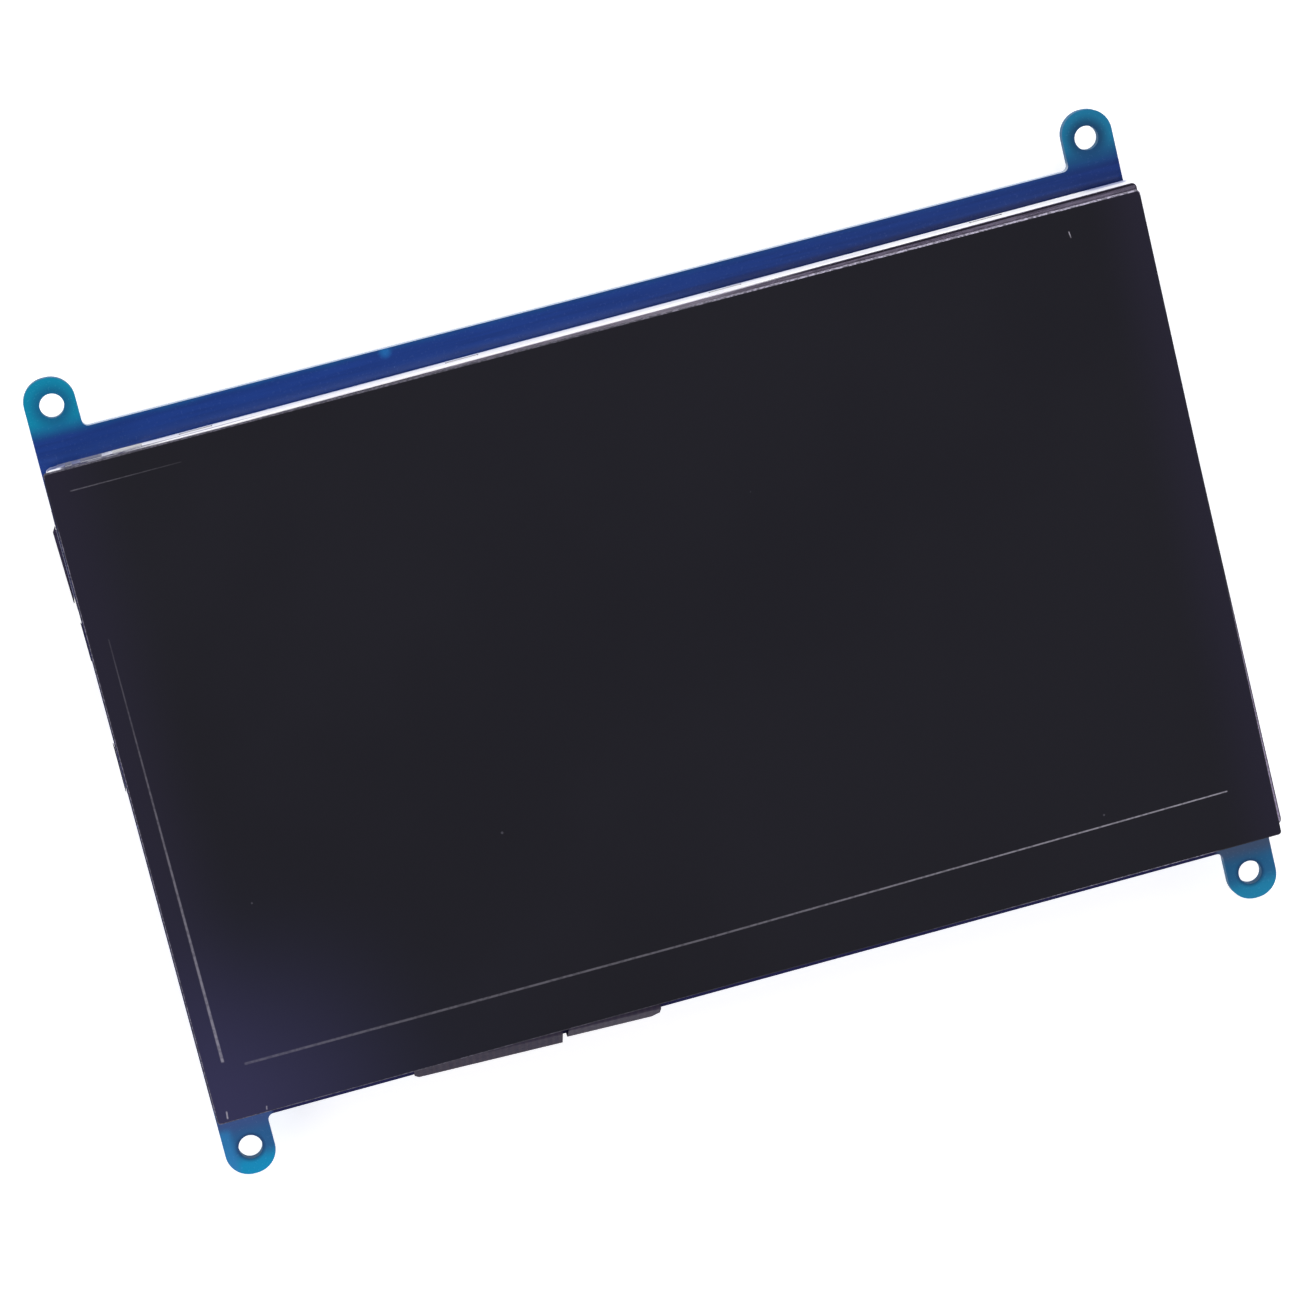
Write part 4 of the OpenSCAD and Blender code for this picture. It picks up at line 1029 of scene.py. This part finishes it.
def lay_track(width, start, moves):
    """A track: a short strip drawn out from its end along the moves, with a mitre at each bend."""
    ways = [Vector((*move, 0)).normalized() for move in moves]
    facing = ways[0]
    start = Vector((*start, TRACK_AT))
    half = Vector((STUB, width / 2, 0)) if abs(facing.x) > 0.5 else Vector((width / 2, STUB, 0))
    track = add_piece("track", bpy.ops.mesh.primitive_plane_add, start - half, start + half, size=1)
    edit_chosen(track, "points", lambda at: (at - start).dot(ways[0]) > STUB / 2)
    end = start + ways[0] * STUB
    for move, way, onward in zip(moves, ways, ways[1:] + ways[-1:]):
        draw_out(*move, 0)
        end += Vector((*move, 0))
        mitre = (way + onward).normalized()
        turn = facing.to_2d().angle_signed(mitre.to_2d())
        bpy.ops.transform.rotate(value=turn, orient_axis="Z", center_override=end * MM)
        facing = mitre
    bpy.ops.object.mode_set(mode="OBJECT")
    return track


def copper_tracks():
    """Tracks that stand up a little under the blue mask."""
    piece = join_pieces("copper_tracks", [lay_track(*track) for track in TRACKS])
    thicken(piece, THICKNESS)
    paint_piece(piece, ["raised_mask"])
    settle(piece, "board")


VIA_R = 0.35
VIA_RING = 0.16
VIA_HEIGHT = 0.06
VIA_DEPTH = 0.07
TOP_ROW_Y = 51.5


def via_places():
    """Vias where buses end, a wide grid that ties the two copper faces together, and a row at the top."""
    ends = [tuple(map(sum, zip(start, *moves))) for _, start, moves in ENDS_IN_VIAS]
    grid = [(x, y) for x in range(-4, 81, 12) for y in range(-48, 49, 12)]
    top_row = [(x, TOP_ROW_Y) for x in range(-72, -8, 8)]
    return [(x, y, 0, AS_MADE) for x, y in ends + grid + top_row]


def vias():
    """Tinned rings round small holes."""
    mould = add_piece("via_mould", bpy.ops.mesh.primitive_cylinder_add, (-VIA_R, -VIA_R, -VIA_HEIGHT),
                      (VIA_R, VIA_R, SINK), vertices=10, radius=0.5, depth=1)
    edit_chosen(mould, "faces", lambda at, normal: normal.z < -0.9)
    bpy.ops.mesh.inset(thickness=VIA_RING * MM, depth=0)
    draw_out(0, 0, VIA_DEPTH)
    bpy.ops.object.mode_set(mode="OBJECT")

    def in_hole(at, normal):
        return int(at.to_2d().length < VIA_R - VIA_RING + 0.01 and at.z > 0.01 - VIA_HEIGHT)

    paint_piece(mould, ["tin", "black_moulding"], in_hole)
    settle(join_copies("vias", mould, via_places()), "shell")


PRINT_AT = -0.025
PRINT_LINE = 0.16
# Printed frames by node: margins along X and Y
PRINT_MARGINS = {
    "scaler_chip": (0.8, 0.8), "bridge_chip": (0.8, 0.8), "memory_chip": (0.4, 0.8),
    "regulators": (0.8, 0.4), "boost_chip": (0.8, 0.4), "power_inductors": (0.8, 0.5),
    "rectifiers": (0.8, 0.4), "electrolytic_capacitors": (0.8, 0.4), "crystal_bases": (0.5, 0.5),
    "panel_socket": (0.9, 0.3), "touch_socket": (0.9, 0.3), "indicator_lamp": (0.7, 0.4),
}


def printed_frame(low, high):
    """A thin printed line round a rectangle."""
    corners = ((corner.x, corner.y, PRINT_AT) for corner in (low, high))
    made = add_piece("printed_frame", bpy.ops.mesh.primitive_plane_add, *corners, size=1)
    bpy.ops.object.mode_set(mode="EDIT")
    bpy.ops.mesh.select_all(action="SELECT")
    bpy.ops.mesh.inset(thickness=PRINT_LINE * MM, depth=0)
    bpy.ops.mesh.delete(type="FACE")
    bpy.ops.object.mode_set(mode="OBJECT")
    return made


def white_print():
    """White frames printed round the larger parts."""
    frames = []
    for node, margins in PRINT_MARGINS.items():
        margin = Vector((*margins, 0))
        frames += [printed_frame(low - margin, high + margin) for low, high in solid_boxes(node)]
    piece = join_pieces("white_print", frames)
    thicken(piece, THICKNESS)
    paint_piece(piece, ["white_print"])
    settle(piece, "white_plastic")


# Socket shells: where the mouth is, and how far the ends of the outer lip are eased along X and Y
SHELL_LIPS = {
    "video_shell": (-82.55, (0, -1.0), (0.28, -1.5)),
    "power_shell": (-82.45, (0.18, 0.4), (0.24, -0.4)),
    "data_shell": (-82.5, (0.2, 1.2), (0.2, -1.2)),
}


def eased_shell(node, mouth, upper_ease, lower_ease):
    """A socket's shell with its side lips pressed flush, the ends of its outer lip eased and its lip in
    painted shade.
    """
    low, high = (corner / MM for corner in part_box(node))
    middle, side_at = (low.y + high.y) / 2, 0.45 * (high.y - low.y)
    shell = add_object("eased_" + node, NODES[node].data.copy())
    edit_chosen(shell, "points", lambda at: True)
    bpy.ops.mesh.remove_doubles(threshold=0.001 * MM)
    edit_chosen(shell, "points", lambda at: at.x < mouth - 0.01 and abs(at.y - middle) > side_at)
    bpy.ops.transform.resize(value=(0, 1, 1), center_override=((mouth - 0.02) * MM, 0, 0))
    for end, ease in ((1, upper_ease), (-1, lower_ease)):
        edit_chosen(shell, "points", lambda at: at.x < mouth - 0.05 and 0 < (at.y - middle) * end < side_at)
        shift(*ease, 0)
    bpy.ops.object.mode_set(mode="OBJECT")
    bpy.ops.mesh.customdata_custom_splitnormals_clear()
    bpy.ops.object.shade_smooth_by_angle(angle=math.radians(25))

    # Faces of the lip that face up or out of the mouth get the nickel in painted shade
    def lip_in_shade(at, normal):
        return int(at.x < mouth + 0.3 and (normal.z > 0.3 or normal.x < -0.5))

    paint_piece(shell, ["nickel_plate", "shaded_nickel"], lip_in_shade)
    settle(shell, "shell", node)


# Half sizes of the moulded bodies that leads come out of, along X and Y
LEAD_BODIES = [
    ("scaler_chip", 7.02, 7.02), ("bridge_chip", 3.52, 3.52), ("memory_chip", 9, 1.97),
    ("regulators", 1.77, 9), ("boost_chip", 0.81, 9), ("rectifiers", 2.16, 9),
]
# Finishes of the feet of parts, up to a height over the board
FEET = [
    ("power_inductors", "tin", 0.19), ("electrolytic_capacitors", "black_moulding", 1.05),
    ("indicator_lamp", "white_moulding", 0.31),
]


def paint_leads():
    """Tin on the leads and feet of the moulded packages, and the finishes of the wound parts."""
    for node, along_x, along_y in LEAD_BODIES:
        middles = [(low + high) / 2 for low, high in solid_boxes(node)]

        def on_lead(at, normal):
            nearest = min(middles, key=lambda middle: (middle - at).to_2d().length)
            return abs(at.x - nearest.x) > along_x or abs(at.y - nearest.y) > along_y

        paint_faces(node, "tin", on_lead)
    cores = [((low + high) / 2, (high.x - low.x) / 2) for low, high in solid_boxes("power_inductors")]

    def on_winding(at, normal):
        middle, radius = min(cores, key=lambda core: (core[0] - at).to_2d().length)
        return abs(normal.z) < 0.1 and 0.5 < (at - middle).to_2d().length / radius < 0.9 and at.z < -0.9

    paint_faces("power_inductors", "copper_winding", on_winding)
    for node, finish, height in FEET:
        paint_faces(node, finish, lambda at, normal: at.z > -height)
    paint_faces("crystal_bases", "tin", lambda at, normal: at.z > -0.31 and abs(normal.z) < 0.5)


# Stage, light and camera

WHITE = (1, 1, 1, 1)
FLOOR_SIZE = 8
FLOOR_GAP = 0.1 * MM
FLOOR_COLOUR = (0.8, 0.8, 0.8, 1)
FLOOR_GLOW = 0.62
CEILING = (0.13, 0.12, 0.16, 1)
GLOW = (0.37, 0.41, 1.15, 1)
GLOW_TOWARDS = Vector((-0.1, -0.36, 0.93)).normalized()
# Softboxes by name: place and size in metres, power, and whether glossy faces mirror them
SOFTBOXES = {
    "key_softbox": ((0.25, 1.15, 0.95), 0.9, 8.0, True),
    "fill_softbox": ((-1.2, -0.35, 0.9), 0.9, 5.0, True),
    "edge_softbox": ((0.15, 1.3, 0.2), 0.35, 3.5, False),
}


def white_floor():
    """A white floor that takes the shadow, and lets light and views through from below."""
    bpy.ops.object.select_all(action="DESELECT")
    bpy.ops.mesh.primitive_plane_add(size=FLOOR_SIZE, location=(0, 0, CAD_BOX[0].z - FLOOR_GAP))
    floor = bpy.context.object
    floor.name = "studio_floor"
    made, tree, shader = blank_material("white_floor")
    shader.inputs["Base Color"].default_value = FLOOR_COLOUR
    shader.inputs["Roughness"].default_value = 1.0
    shader.inputs["Specular IOR Level"].default_value = 0.0
    shader.inputs["Emission Color"].default_value = WHITE
    shader.inputs["Emission Strength"].default_value = FLOOR_GLOW
    path = add_node(tree, "LightPath").outputs
    seen = maths("ADD", path["Is Camera Ray"], path["Is Glossy Ray"])
    seen = maths("ADD", seen, path["Is Transmission Ray"], clamp=True)
    from_above = rest_of(add_node(tree, "NewGeometry").outputs["Backfacing"])
    clear = add_node(tree, "BsdfTransparent")
    share = product(seen, from_above)
    shown = add_node(tree, "MixShader", {0: share, 1: clear.outputs[0], 2: shader.outputs[0]})
    tree.links.new(shown.outputs[0], tree.nodes["Material Output"].inputs["Surface"])
    floor.data.materials.append(made)


def studio_world():
    """White all round the horizon, a dim mauve ceiling and a soft blue glow low on one side of it."""
    world = bpy.data.worlds.new("studio")
    bpy.context.scene.world = world
    world.use_nodes = True
    tree = world.node_tree
    background = tree.nodes["Background"]
    place = add_node(tree, "TexCoord").outputs["Generated"]
    _, _, height = split(place)
    upward = ramp(height, 0.45, 0.88)
    sky = mix_colour(upward, WHITE, CEILING)
    glow = ramp(dot(place, GLOW_TOWARDS), 0.982, 0.9995)
    sky = mix_colour(glow, sky, GLOW)
    to_camera = add_node(tree, "LightPath").outputs["Is Camera Ray"]
    feed(background, "Color", mix_colour(to_camera, sky, WHITE))


def softbox(name, location, size, power, mirrored):
    lamp = bpy.data.lights.new(name, "AREA")
    lamp.shape = "DISK"
    lamp.size = size
    lamp.energy = power
    holder = add_object(name, lamp)
    holder.location = location
    holder.rotation_mode = "QUATERNION"
    holder.rotation_quaternion = (-Vector(location)).to_track_quat("-Z", "Y")
    holder.visible_glossy = mirrored


def photograph_camera():
    camera = bpy.data.cameras.new("camera")
    camera.lens = LENS_MM
    camera.sensor_width = SENSOR_MM
    camera.clip_start = 0.01
    holder = add_object("camera", camera)
    back = -LOOK.normalized()
    right = (ACROSS - back * ACROSS.dot(back)).normalized()
    up = back.cross(right)
    turn = Matrix((right, up, back)).transposed().to_4x4()
    holder.matrix_world = Matrix.Translation(CAMERA_AT) @ turn
    bpy.context.scene.camera = holder


# Making, in turn

paint_nodes()
paint_edges()
paint_leads()
chip_capacitors()
chip_resistors()
solder_pads()
copper_tracks()
vias()
white_print()
for node, lips in SHELL_LIPS.items():
    eased_shell(node, *lips)
white_floor()
studio_world()
for name, settings in SOFTBOXES.items():
    softbox(name, *settings)
photograph_camera()
bpy.context.scene.view_settings.view_transform = "Standard"
